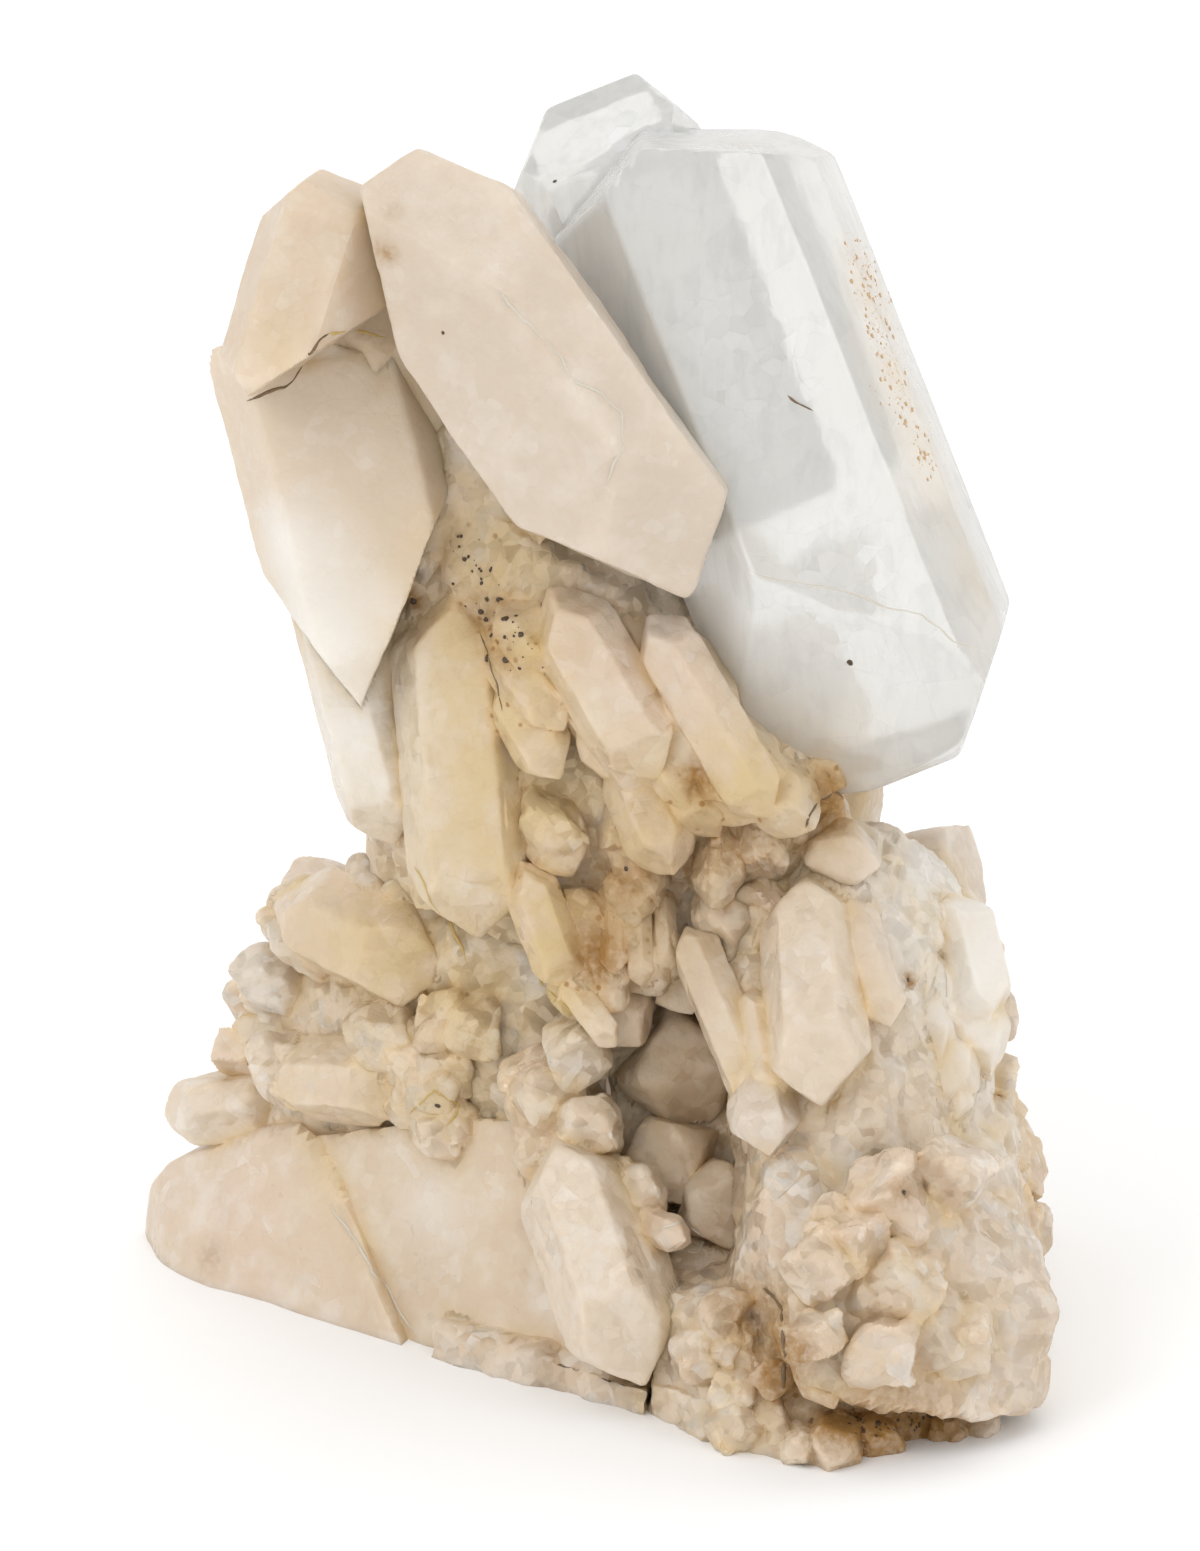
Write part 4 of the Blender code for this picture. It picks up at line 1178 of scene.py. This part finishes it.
LEFT_BASE = Mass("left_base", (
    ("yellow_block", (-34.5, 59.0, 62.0), (-13.0, 49.0, 45.0), 10.0, 12.0, 25.0),
    ("level_crystal", (-34.5, 39.8, 58.0), (-16.5, 38.8, 45.0), 7.6, 9.0, 10.0),
    ("left_end", (-28.0, 38.0, 60.0), (-46.0, 35.4, 67.0), 6.6, 9.0, 20.0),
    ("left_shoulder", (-34.0, 38.0, 61.0), (-39.3, 46.4, 64.0), 6.5, 8.0, 0.0),
    ("left_cap", (-32.0, 45.0, 60.0), (-35.6, 53.2, 65.0), 5.6, 7.0, 15.0),
    ("lower_middle", (-5.5, 38.0, 38.0), (5.4, 6.3, 14.5), 11.5, 12.0, 5.0),
    ("end_on", (3.0, 26.0, 30.0), (9.0, 23.6, 20.0), 3.4, 3.0, 0.0),
    ("slot_block", (5.0, 38.0, 44.0), (9.5, 25.0, 30.0), 10.0, 9.0, 20.0),
    ("slot_low", (11.0, 33.0, 40.0), (14.0, 21.0, 25.0), 9.0, 8.0, 10.0),
), (
    ("slab_left", (
        (-43.7, 31.2, 65.0), (-46.2, 27.7, 70.0), (-27.6, 33.0, 52.0), (-30.0, 35.0, 54.0), (-34.0, 36.0, 74.0),
    ), (
        (-46.5, 70.0), (-45.2, 60.0), (-41.6, 54.4), (-28.6, 43.9), (-18.4, 34.5), (-36.0, 80.0), (-12.0, 60.0),
    ), Surface.SLAB),
    ("slab_right", (
        (-30.0, 34.0, 54.0), (-14.0, 36.0, 43.0), (-2.0, 35.0, 36.0), (4.0, 29.0, 31.0), (0.0, 36.0, 60.0),
    ), ((-21.0, 39.5), (-1.0, 25.0), (5.0, 20.5), (-20.0, 66.0), (12.0, 50.0)), Surface.SLAB),
    ("slab_ledge", (
        (-17.0, 15.0, 35.5), (-1.0, 10.6, 23.6), (5.0, 8.6, 18.0), (-10.0, 18.0, 44.0), (6.0, 14.0, 34.0),
    ), ((-17.5, 33.8), (-1.0, 21.9), (4.0, 17.0), (-10.0, 44.0), (8.0, 34.0))),
    ("left_hill", (
        (-34.0, 44.0, 66.0), (-31.3, 56.5, 63.0), (-28.9, 59.0, 62.0), (-23.0, 60.0, 54.0), (-15.0, 52.0, 46.0),
        (-12.0, 38.0, 43.0), (-32.5, 38.0, 58.0), (-34.0, 50.0, 78.0), (-4.0, 60.0, 74.0), (0.0, 50.0, 40.0),
        (2.0, 38.0, 36.0),
    ), ((-38.0, 64.0), (-30.0, 80.0), (-10.0, 46.0), (4.0, 40.0), (4.0, 78.0))),
), (
    Druse("left_top_druse", 10,
          ((-33.0, 46.0, 62.0), (-14.0, 52.0, 46.0), (-32.0, 56.0, 62.0), (-16.0, 58.0, 52.0)),
          (0.7, -0.5, 0.3), 0.35, (12.0, 18.0), (6.0, 9.0), surface=Surface.LUMP),
    Druse("left_face_druse", 16,
          ((-34.0, 35.0, 58.0), (0.0, 33.0, 32.5), (-32.0, 45.0, 56.0), (0.0, 47.0, 36.0)),
          (0.6, -0.6, 0.35), 0.4, (11.0, 17.0), (6.0, 9.0), surface=Surface.LUMP),
    Druse("left_edge_druse", 7,
          ((-36.0, 30.0, 68.0), (-36.0, 30.0, 62.0), (-33.0, 54.0, 68.0), (-30.0, 57.0, 62.0)),
          (-0.8, 0.3, 0.1), 0.4, (10.0, 14.0), (6.0, 9.0), surface=Surface.LUMP),
    Druse("slab_druse", 8,
          ((-10.0, 26.0, 38.0), (4.0, 22.0, 26.0), (-6.0, 33.0, 37.0), (4.0, 32.0, 30.0)),
          (0.3, -0.8, 0.3), 0.4, (9.0, 14.0), (4.5, 7.0), surface=Surface.LUMP),
))

RIGHT_BASE = Mass("right_base", (
    ("long_a", (8.0, 56.5, 38.0), (16.8, 35.5, 23.0), 4.6, 5.0, 20.0),
    ("long_b", (20.5, 62.5, 42.0), (22.2, 34.6, 17.0), 9.4, 9.0, 8.0),
    ("long_c", (24.5, 59.0, 38.0), (29.2, 43.8, 25.0), 4.2, 4.5, 0.0),
    ("white_lump", (28.0, 52.0, 50.0), (36.6, 61.0, 56.0), 9.6, 9.0, 12.0),
    ("white_shoulder", (30.0, 60.0, 54.0), (39.6, 49.0, 58.0), 8.6, 9.0, 35.0),
    ("fin", (18.0, 19.0, 14.0), (23.8, 6.2, 3.5), 4.2, 4.0, 0.0),
    ("toe", (24.0, 6.0, 14.0), (22.5, 1.0, 0.5), 6.0, 5.0, 0.0),
), (
    ("right_low", (
        (41.0, 28.0, 26.0), (40.4, 36.0, 36.0), (41.0, 42.0, 56.0), (16.0, 32.0, 18.0), (19.0, 20.0, 12.0),
        (20.0, 36.0, 76.0), (36.0, 40.0, 74.0),
    ), (
        (18.0, 9.0), (26.0, 8.0), (33.0, 10.0), (38.6, 14.0), (42.5, 18.4), (46.0, 40.0), (44.0, 68.0),
        (22.0, 82.0), (8.0, 20.0),
    )),
    ("right_hill", (
        (38.6, 52.5, 46.0), (35.2, 60.0, 50.0), (31.0, 65.0, 48.0), (24.0, 66.5, 42.0), (17.0, 62.0, 42.0),
        (11.5, 50.0, 35.0), (15.5, 38.0, 24.0), (38.4, 45.0, 40.0), (40.0, 37.0, 36.0), (36.0, 60.0, 66.0),
        (18.0, 64.0, 68.0), (28.0, 36.0, 20.0),
    ), ((16.0, 16.0), (38.0, 22.0), (42.0, 60.0), (16.0, 76.0))),
    ("right_block", (
        (27.4, 7.4, 4.0), (35.0, 6.4, 6.5), (40.5, 6.0, 10.0), (43.6, 7.4, 15.0), (45.9, 15.6, 17.0),
        (46.2, 16.6, 18.0), (43.6, 18.6, 20.0), (41.6, 28.0, 28.0), (32.0, 30.0, 14.0), (22.0, 28.0, 10.0),
        (18.6, 19.0, 7.0), (20.0, 9.5, 3.5), (24.0, 24.0, 40.0), (40.0, 14.0, 40.0),
    ), ()),
    ("middle_foot", (
        (6.0, 18.0, 20.0), (14.0, 16.0, 14.0), (6.0, 30.0, 44.0), (18.0, 30.0, 44.0),
    ), ((4.0, 17.0), (10.0, 11.0), (18.0, 4.0), (22.0, 2.5), (8.0, 60.0), (24.0, 50.0))),
    ("core", (
        (-14.0, 45.0, 44.0), (10.0, 44.0, 40.0), (24.0, 50.0, 44.0), (-17.0, 66.0, 64.0), (20.0, 68.0, 66.0),
    ), ((-10.0, 44.0), (10.0, 34.0), (26.0, 40.0), (24.0, 66.0), (-20.0, 70.0))),
), (
    Druse("right_top_druse", 12,
          ((13.0, 52.0, 36.0), (36.0, 52.0, 44.0), (17.0, 63.0, 42.0), (33.0, 61.0, 46.0)),
          (0.1, -0.9, 0.4), 0.4, (10.0, 15.0), (5.0, 7.5), surface=Surface.LUMP),
    Druse("right_front_druse", 14,
          ((16.0, 36.0, 22.0), (38.0, 36.0, 34.0), (15.0, 50.0, 33.0), (37.0, 52.0, 42.0)),
          (0.1, -0.9, 0.35), 0.3, (13.0, 20.0), (5.0, 8.0)),
    Druse("right_flank_druse", 14,
          ((39.5, 26.0, 30.0), (43.5, 22.0, 50.0), (36.5, 57.0, 48.0), (36.5, 54.0, 62.0)),
          (0.6, -0.6, 0.2), 0.4, (9.0, 14.0), (5.5, 8.5), surface=Surface.LUMP),
    Druse("right_low_druse", 10,
          ((21.0, 12.0, 1.5), (42.0, 12.0, 12.0), (18.0, 30.0, 9.0), (39.0, 32.0, 20.0)),
          (0.3, -0.5, 0.35), 0.6, (12.0, 18.0), (9.0, 14.0), surface=Surface.LUMP),
    Druse("rim_druse", 9,
          ((20.0, 3.0, 6.0), (38.0, 5.0, 14.0), (20.0, 4.0, 9.0), (38.0, 6.0, 17.0)),
          (0.3, -0.3, 0.6), 0.5, (8.0, 11.0), (3.6, 5.4), surface=Surface.LUMP),
    Druse("knob_druse", 9,
          ((9.0, 6.0, 14.0), (18.0, 3.0, 7.0), (10.0, 17.0, 18.0), (18.0, 17.0, 14.0)),
          (-0.1, -0.3, 0.6), 0.5, (8.0, 12.0), (4.5, 6.5), surface=Surface.LUMP),
))

BACK = Mass("back_crystals", (
    ("back_upper_left", (-11.0, 60.0, 58.0), (-21.5, 56.0, 114.0), 17.0, 13.0, 10.0),
    ("back_upper_middle", (0.0, 62.0, 52.0), (-9.0, 60.0, 112.0), 16.0, 15.0, 25.0),
    ("back_tall", (-6.0, 62.0, 16.0), (-12.0, 80.0, 62.0), 16.0, 15.0, 5.0),
    ("back_right_tall", (14.0, 60.0, 16.0), (24.0, 80.0, 58.0), 15.0, 13.0, 15.0),
    ("back_middle", (2.0, 62.0, 8.0), (2.0, 84.0, 36.0), 14.0, 13.0, 0.0),
    ("back_left_low", (-12.0, 60.0, 8.0), (-30.0, 78.0, 26.0), 14.0, 13.0, 20.0),
), (
    ("back_foot", (
        (-30.0, 44.0, 78.0), (-20.0, 57.0, 70.0), (0.0, 60.0, 72.0), (24.0, 60.0, 70.0), (0.0, 52.0, 56.0),
    ), ((-36.0, 80.0), (0.0, 84.0), (30.0, 78.0), (-20.0, 60.0), (20.0, 60.0))),
), (
    Druse("back_left_druse", 10,
          ((-38.0, 78.0, 6.0), (-4.0, 80.0, 6.0), (-30.0, 74.0, 34.0), (-4.0, 72.0, 40.0)),
          (-0.3, 0.5, 0.8), 0.4, (18.0, 30.0), (9.0, 14.0), True),
    Druse("back_right_druse", 10,
          ((4.0, 79.0, 6.0), (38.0, 70.0, 6.0), (10.0, 70.0, 44.0), (34.0, 64.0, 44.0)),
          (0.4, 0.5, 0.7), 0.4, (18.0, 30.0), (9.0, 14.0), True),
), True, 2.1)


def sprinkle(name: str, count: int, route: Sequence[Place], least: float, most: float) -> tuple[Place, ...]:
    """Grains strewn along a route.

    Args:
        name: draws them.
        count: how many.
        route: (across, up, half width) of each corner of the route.
        least: the smallest radius.
        most: the largest radius.

    Returns:
        (across, up, radius) of each grain.
    """
    chance = random.Random(name)
    spots = []
    for _ in range(count):
        leg = chance.randrange(len(route) - 1)
        share = chance.random()
        ends = zip(route[leg], route[leg + 1])
        across, up, wide = ((1.0 - share) * here + share * there for here, there in ends)
        across += chance.gauss(0.0, 0.5) * wide
        up += 0.4 * chance.gauss(0.0, 0.5) * wide
        spots.append((across, up, least + (most - least) * chance.random() ** 3))
    return tuple(spots)


@dataclass
class Grains:
    """Small grains that sit on the front.

    Attributes:
        name: what the piece is called.
        finish: what they are made of.
        spots: (across, up, radius) of each grain, in millimetres.
    """

    name: str
    finish: Plain
    spots: tuple[Place, ...]

    def build(self, dyer: Dyer) -> bpy.types.Object:
        """Builds the grains as one piece: each is a small ball flattened onto the stone, with a relief of
        low waves on it."""
        grid, quads = ball_grid(3)
        points, faces = [], []
        for number, (across, up, radius) in enumerate(self.spots):
            found = dyer.touch(across, up)
            if found is None:
                continue
            place, normal = np.array(found[0]), np.array(found[1])
            lumps = grid * (1.0 + 0.45 * waves(grid * 3.0, 1.6, number))[:, None]
            lumps -= 0.6 * (lumps @ normal)[:, None] * normal
            faces.append(quads + len(grid) * len(points))
            points.append(place + lumps * radius * MM)
        piece = mesh_object(self.name, np.concatenate(points), np.concatenate(faces))
        bpy.context.scene.collection.objects.link(piece)
        piece.data.shade_smooth()
        return take_in(piece, self.finish.material())


@dataclass
class Lines:
    """Fine lines that run over the front, such as cracks and stains.

    Attributes:
        name: what the piece is called.
        finish: what they look like.
        routes: the radius of each line in millimetres and its corners as (across, up).
    """

    name: str
    finish: Plain
    routes: tuple[tuple[float, tuple[tuple[float, float], ...]], ...]

    step = 0.35
    sides = 6
    longest_jump = 1.6 * MM

    def trail(self, corners: Sequence[tuple[float, float]]) -> Array:
        """Places along the corners, a step apart, that wander a little: (across, up) rows."""
        ends = np.array(corners)
        legs = np.concatenate(([0.0], np.cumsum(np.linalg.norm(np.diff(ends, axis=0), axis=1))))
        along = np.linspace(0.0, legs[-1], max(int(legs[-1] / self.step), 4))
        trail = np.stack([np.interp(along, legs, ends[:, side]) for side in (0, 1)], axis=1)
        flat = np.concatenate((trail, np.zeros((len(trail), 1))), axis=1)
        return trail + 0.35 * np.stack((waves(flat, 2.2, 71, 2), waves(flat, 2.2, 91, 2)), axis=1)

    def rope(self, places: Array, normals: Array, radius: float, seed: int) -> tuple[Array, Array]:
        """A flattened tube along places on the surface: its radius swells and thins with a random wave and
        runs out to nothing at both ends, and each ring of points is an ellipse across the direction.

        Args:
            places: places in metres, three to a row.
            normals: the outward direction at each.
            radius: in millimetres.
            seed: which wave.

        Returns:
            The points and the triangles.
        """
        count = len(places)
        along = np.gradient(places, axis=0)
        along /= np.linalg.norm(along, axis=1, keepdims=True) + 1e-12
        across = np.cross(along, normals)
        across /= np.linalg.norm(across, axis=1, keepdims=True) + 1e-12
        share = np.linspace(0.0, 1.0, count)
        swell = 0.75 + 0.45 * waves(np.stack((share * count * 0.3, share, share), axis=1), 1.0, seed, 2)
        widths = np.maximum(radius * MM * swell * np.minimum(1.0, 8.0 * share * (1.0 - share) + 0.1), 0.02 * MM)
        turns = np.arange(self.sides) * 2.0 * math.pi / self.sides
        sideways = np.cos(turns)[None, :, None] * across[:, None]
        outwards = 0.45 * np.sin(turns)[None, :, None] * normals[:, None]
        rings = places[:, None] + widths[:, None, None] * (sideways + outwards)
        points = np.concatenate((rings.reshape(-1, 3), places[:1], places[-1:]))
        ring, side = np.meshgrid(np.arange(count - 1), np.arange(self.sides), indexing="ij")
        a = (ring * self.sides + side).ravel()
        b = (ring * self.sides + (side + 1) % self.sides).ravel()
        c, d = a + self.sides, b + self.sides
        side = np.arange(self.sides)
        following = (side + 1) % self.sides
        last, first_end, last_end = (count - 1) * self.sides, count * self.sides, count * self.sides + 1
        triangles = np.concatenate((
            np.stack((a, c, b), axis=1), np.stack((b, c, d), axis=1),
            np.stack((np.full(self.sides, first_end), side, following), axis=1),
            np.stack((np.full(self.sides, last_end), last + following, last + side), axis=1),
        ))
        return points, triangles

    def build(self, dyer: Dyer) -> bpy.types.Object:
        """Builds the lines as one piece. A line is broken where the surface jumps."""
        points, faces, start = [], [], 0
        for number, (radius, corners) in enumerate(self.routes):
            found = [dyer.touch(*spot) for spot in self.trail(corners)]
            runs: list[list[tuple[Vector, Vector]]] = [[]]
            for hit in found:
                if hit is None or (runs[-1] and (hit[0] - runs[-1][-1][0]).length > self.longest_jump):
                    runs.append([])
                if hit is not None:
                    runs[-1].append(hit)
            for run in runs:
                if len(run) < 4:
                    continue
                rope, triangles = self.rope(
                    np.array([hit[0] for hit in run]), np.array([hit[1] for hit in run]), radius, number * 7 + 3
                )
                points.append(rope)
                faces.append(triangles + start)
                start += len(rope)
        piece = mesh_object(self.name, np.concatenate(points), np.concatenate(faces))
        bpy.context.scene.collection.objects.link(piece)
        piece.data.shade_smooth()
        return take_in(piece, self.finish.material())


DARK_GRAIN = Plain("dark_grain", (0.12, 0.075, 0.04), (0.03, 0.018, 0.01), 0.5)
RUST = Plain("rust_stain", (0.66, 0.44, 0.24), (0.50, 0.29, 0.12), 0.55)
DARK_CRACK = Plain("dark_crack", (0.26, 0.17, 0.08), (0.08, 0.045, 0.02), 0.6)
YELLOW_STAIN = Plain("yellow_stain", (0.62, 0.45, 0.16), (0.50, 0.33, 0.09), 0.5)
PALE_RIDGE = Plain("pale_ridge", (0.70, 0.65, 0.56), (0.60, 0.55, 0.46), 0.4)


TRIMMINGS = (
    Grains("dark_specks", DARK_GRAIN, (
        (-10.9, 90.7, 0.3), (-10.0, 87.7, 0.4), (-9.5, 85.8, 0.4), (-11.9, 86.5, 0.3), (-11.3, 81.9, 0.45),
        (-9.4, 81.7, 0.35), (-7.9, 84.2, 0.3), (-8.4, 86.1, 0.2), (-15.6, 114.1, 0.2), (24.9, 81.4, 0.32),
        (-16.3, 37.0, 0.3), (28.4, 2.0, 0.4), (30.8, 49.7, 0.25), (30.2, 28.7, 0.25), (2.6, 60.8, 0.25),
        (-18.7, 87.6, 0.35), (-4.5, 129.5, 0.2),
    ) + sprinkle("recess_grains", 40, ((-13.0, 94.0, 1.6), (-10.0, 86.0, 3.0), (-7.0, 80.0, 2.6)), 0.07, 0.26)
        + sprinkle("pocket_grains", 30, ((25.0, 5.0, 2.0), (33.0, 6.0, 2.4)), 0.1, 0.35)),
    Grains("rust_freckles", RUST, sprinkle(
        "freckles", 260,
        ((25.6, 123.5, 1.2), (27.5, 117.0, 2.2), (29.5, 109.0, 2.0), (33.0, 100.0, 1.2)), 0.06, 0.26,
    )),
    Lines("dark_cracks", DARK_CRACK, (
        (0.2, ((-35.2, 107.4), (-33.1, 108.2), (-31.5, 109.1), (-29.0, 112.1), (-27.1, 114.2))),
        (0.12, ((18.8, 107.8), (20.0, 107.2), (21.4, 106.6))),
        (0.2, ((20.5, 64.9), (22.0, 67.0), (23.5, 68.8), (24.7, 68.1))),
        (0.3, ((16.5, 19.1), (18.0, 17.2), (17.8, 14.7), (18.5, 12.3), (18.5, 8.0))),
        (0.14, ((-12.0, 84.5), (-10.6, 80.0), (-9.6, 76.5))),
    )),
    Lines("pale_ridges", PALE_RIDGE, (
        (0.14, ((-9.4, 116.4), (-9.9, 118.1), (-1.9, 108.9), (2.2, 106.0), (2.5, 102.6), (-0.7, 97.0))),
        (0.1, ((14.3, 90.1), (22.7, 89.1), (26.3, 88.0), (32.1, 86.0), (35.8, 83.3), (38.5, 82.2))),
        (0.14, ((-27.6, 28.0), (-23.0, 20.5), (-18.4, 13.7))),
        (0.14, ((5.9, 24.8), (8.0, 25.6), (10.7, 24.0), (9.6, 22.6), (6.6, 23.0), (5.9, 24.8))),
    )),
    Lines("yellow_lines", YELLOW_STAIN, (
        (0.22, ((-18.8, 61.0), (-17.0, 58.0), (-15.0, 55.2), (-13.5, 51.2))),
        (0.16, ((-27.1, 114.2), (-24.4, 114.7), (-21.2, 113.7))),
        (0.2, ((-6.5, 50.0), (-4.0, 47.5), (-2.5, 46.0))),
        (0.15, ((-19.0, 36.0), (-16.5, 38.5), (-14.0, 37.0), (-15.6, 34.6))),
    )),
)


@dataclass
class Studio:
    """The pale floor, the soft lights and the camera at the photograph's angle.

    Attributes:
        aim: the place in the middle of the picture, as (across, up, back).
        tall: how many millimetres the picture's height takes in there.
        away: how far the camera stands, in metres.
        sensor: how wide the camera's sensor is, in millimetres.
        white: the colour of the light from all around.
        glow: how strong that light is.
        noise: how much noise a pixel may still have when its sampling ends.
        bounces: how often a light path may bounce in all, and how often on rough surfaces.
    """

    aim: Place = (0.0, 70.15, 42.0)
    tall: float = 155.1
    away: float = 3.0
    sensor: float = 36.0
    white: Colour = (1.0, 1.0, 1.0)
    glow: float = 1.0
    noise: float = 0.06
    bounces: tuple[int, int] = (8, 3)

    def camera(self) -> None:
        """Sets up the camera."""
        data = bpy.data.cameras.new("camera")
        data.sensor_width = self.sensor
        data.lens = self.sensor / 2 * self.away / (self.tall / 2 * MM)
        data.clip_end = 50.0
        camera = bpy.data.objects.new("camera", data)
        camera.location = Vector(SIGHT.seen(*self.aim) + SIGHT.towards * self.away)
        camera.rotation_euler = (math.radians(90.0 - SIGHT.look_down), 0.0, 0.0)
        bpy.context.scene.collection.objects.link(camera)
        bpy.context.scene.camera = camera

    def floor(self) -> None:
        """Lays a round pale floor under the cut."""
        shape = bmesh.new()
        bmesh.ops.create_circle(shape, cap_ends=True, segments=64, radius=4.0)
        mesh = bpy.data.meshes.new("floor")
        shape.to_mesh(mesh)
        shape.free()
        floor = bpy.data.objects.new("floor", mesh)
        bench = NodeBench("pale_floor")
        bench.set(Base_Color=(0.97, 0.97, 0.97), Roughness=0.9)
        mesh.materials.append(bench.material)
        bpy.context.scene.collection.objects.link(floor)

    def lamp(self, name: str, place: Place, size: float, power: float) -> None:
        """A square soft light that shines on the cluster.

        Args:
            name: what it is called.
            place: where it stands, in metres.
            size: its side, in metres.
            power: in watts.
        """
        data = bpy.data.lights.new(name, "AREA")
        data.size, data.energy = size, power
        lamp = bpy.data.objects.new(name, data)
        lamp.location = place
        aim = Vector((0.0, 0.0, 0.06)) - Vector(place)
        lamp.rotation_euler = aim.to_track_quat("-Z", "Y").to_euler()
        bpy.context.scene.collection.objects.link(lamp)

    def build(self) -> None:
        """Builds the whole studio."""
        world = bpy.data.worlds.new("studio")
        world.use_nodes = True
        back = world.node_tree.nodes["Background"]
        back.inputs["Color"].default_value = (*self.white, 1.0)
        back.inputs["Strength"].default_value = self.glow
        bpy.context.scene.world = world
        bpy.context.scene.view_settings.view_transform = "Standard"
        cycles = bpy.context.scene.cycles
        cycles.use_adaptive_sampling, cycles.adaptive_threshold = True, self.noise
        cycles.max_bounces, cycles.diffuse_bounces = self.bounces
        self.floor()
        self.lamp("key", (-0.55, -0.55, 0.75), 0.45, 1.6)
        self.lamp("fill", (0.8, -0.5, 0.4), 0.5, 0.5)
        self.lamp("top", (0.1, 0.3, 0.9), 0.5, 0.8)


def main() -> None:
    """Builds the cluster and its studio, and writes how large it came out."""
    logging.basicConfig(level=logging.INFO, format="%(name)s: %(message)s")
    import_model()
    studio = Studio()
    studio.camera()
    coarse = 1.0
    large = (DIAGONAL, LEFT_UPPER, LEFT_LOWER)
    glassy = (CLEAR_MAIN, CLEAR_BEHIND)
    growths = (*glassy, *large, NECK, NECK_BACKING, LEFT_BASE, RIGHT_BASE, BACK)
    mason = Mason()
    for growth in growths:
        growth.grow(mason, coarse)
    mason.close()
    blocks = [block for growth in growths for block in growth.blocks()]
    dyer = Dyer(blocks, [growth.piece for growth in growths])
    milky, cream, clear = MilkyQuartz().material(), CREAM_QUARTZ.material(), ClearQuartz().material()
    for growth in growths:
        dyer.dye(growth.piece)
        take_in(growth.piece, clear if growth in glassy else cream if growth in large else milky)
    for trimming in TRIMMINGS:
        trimming.build(dyer)
    studio.build()


if __name__ == "__main__":
    main()
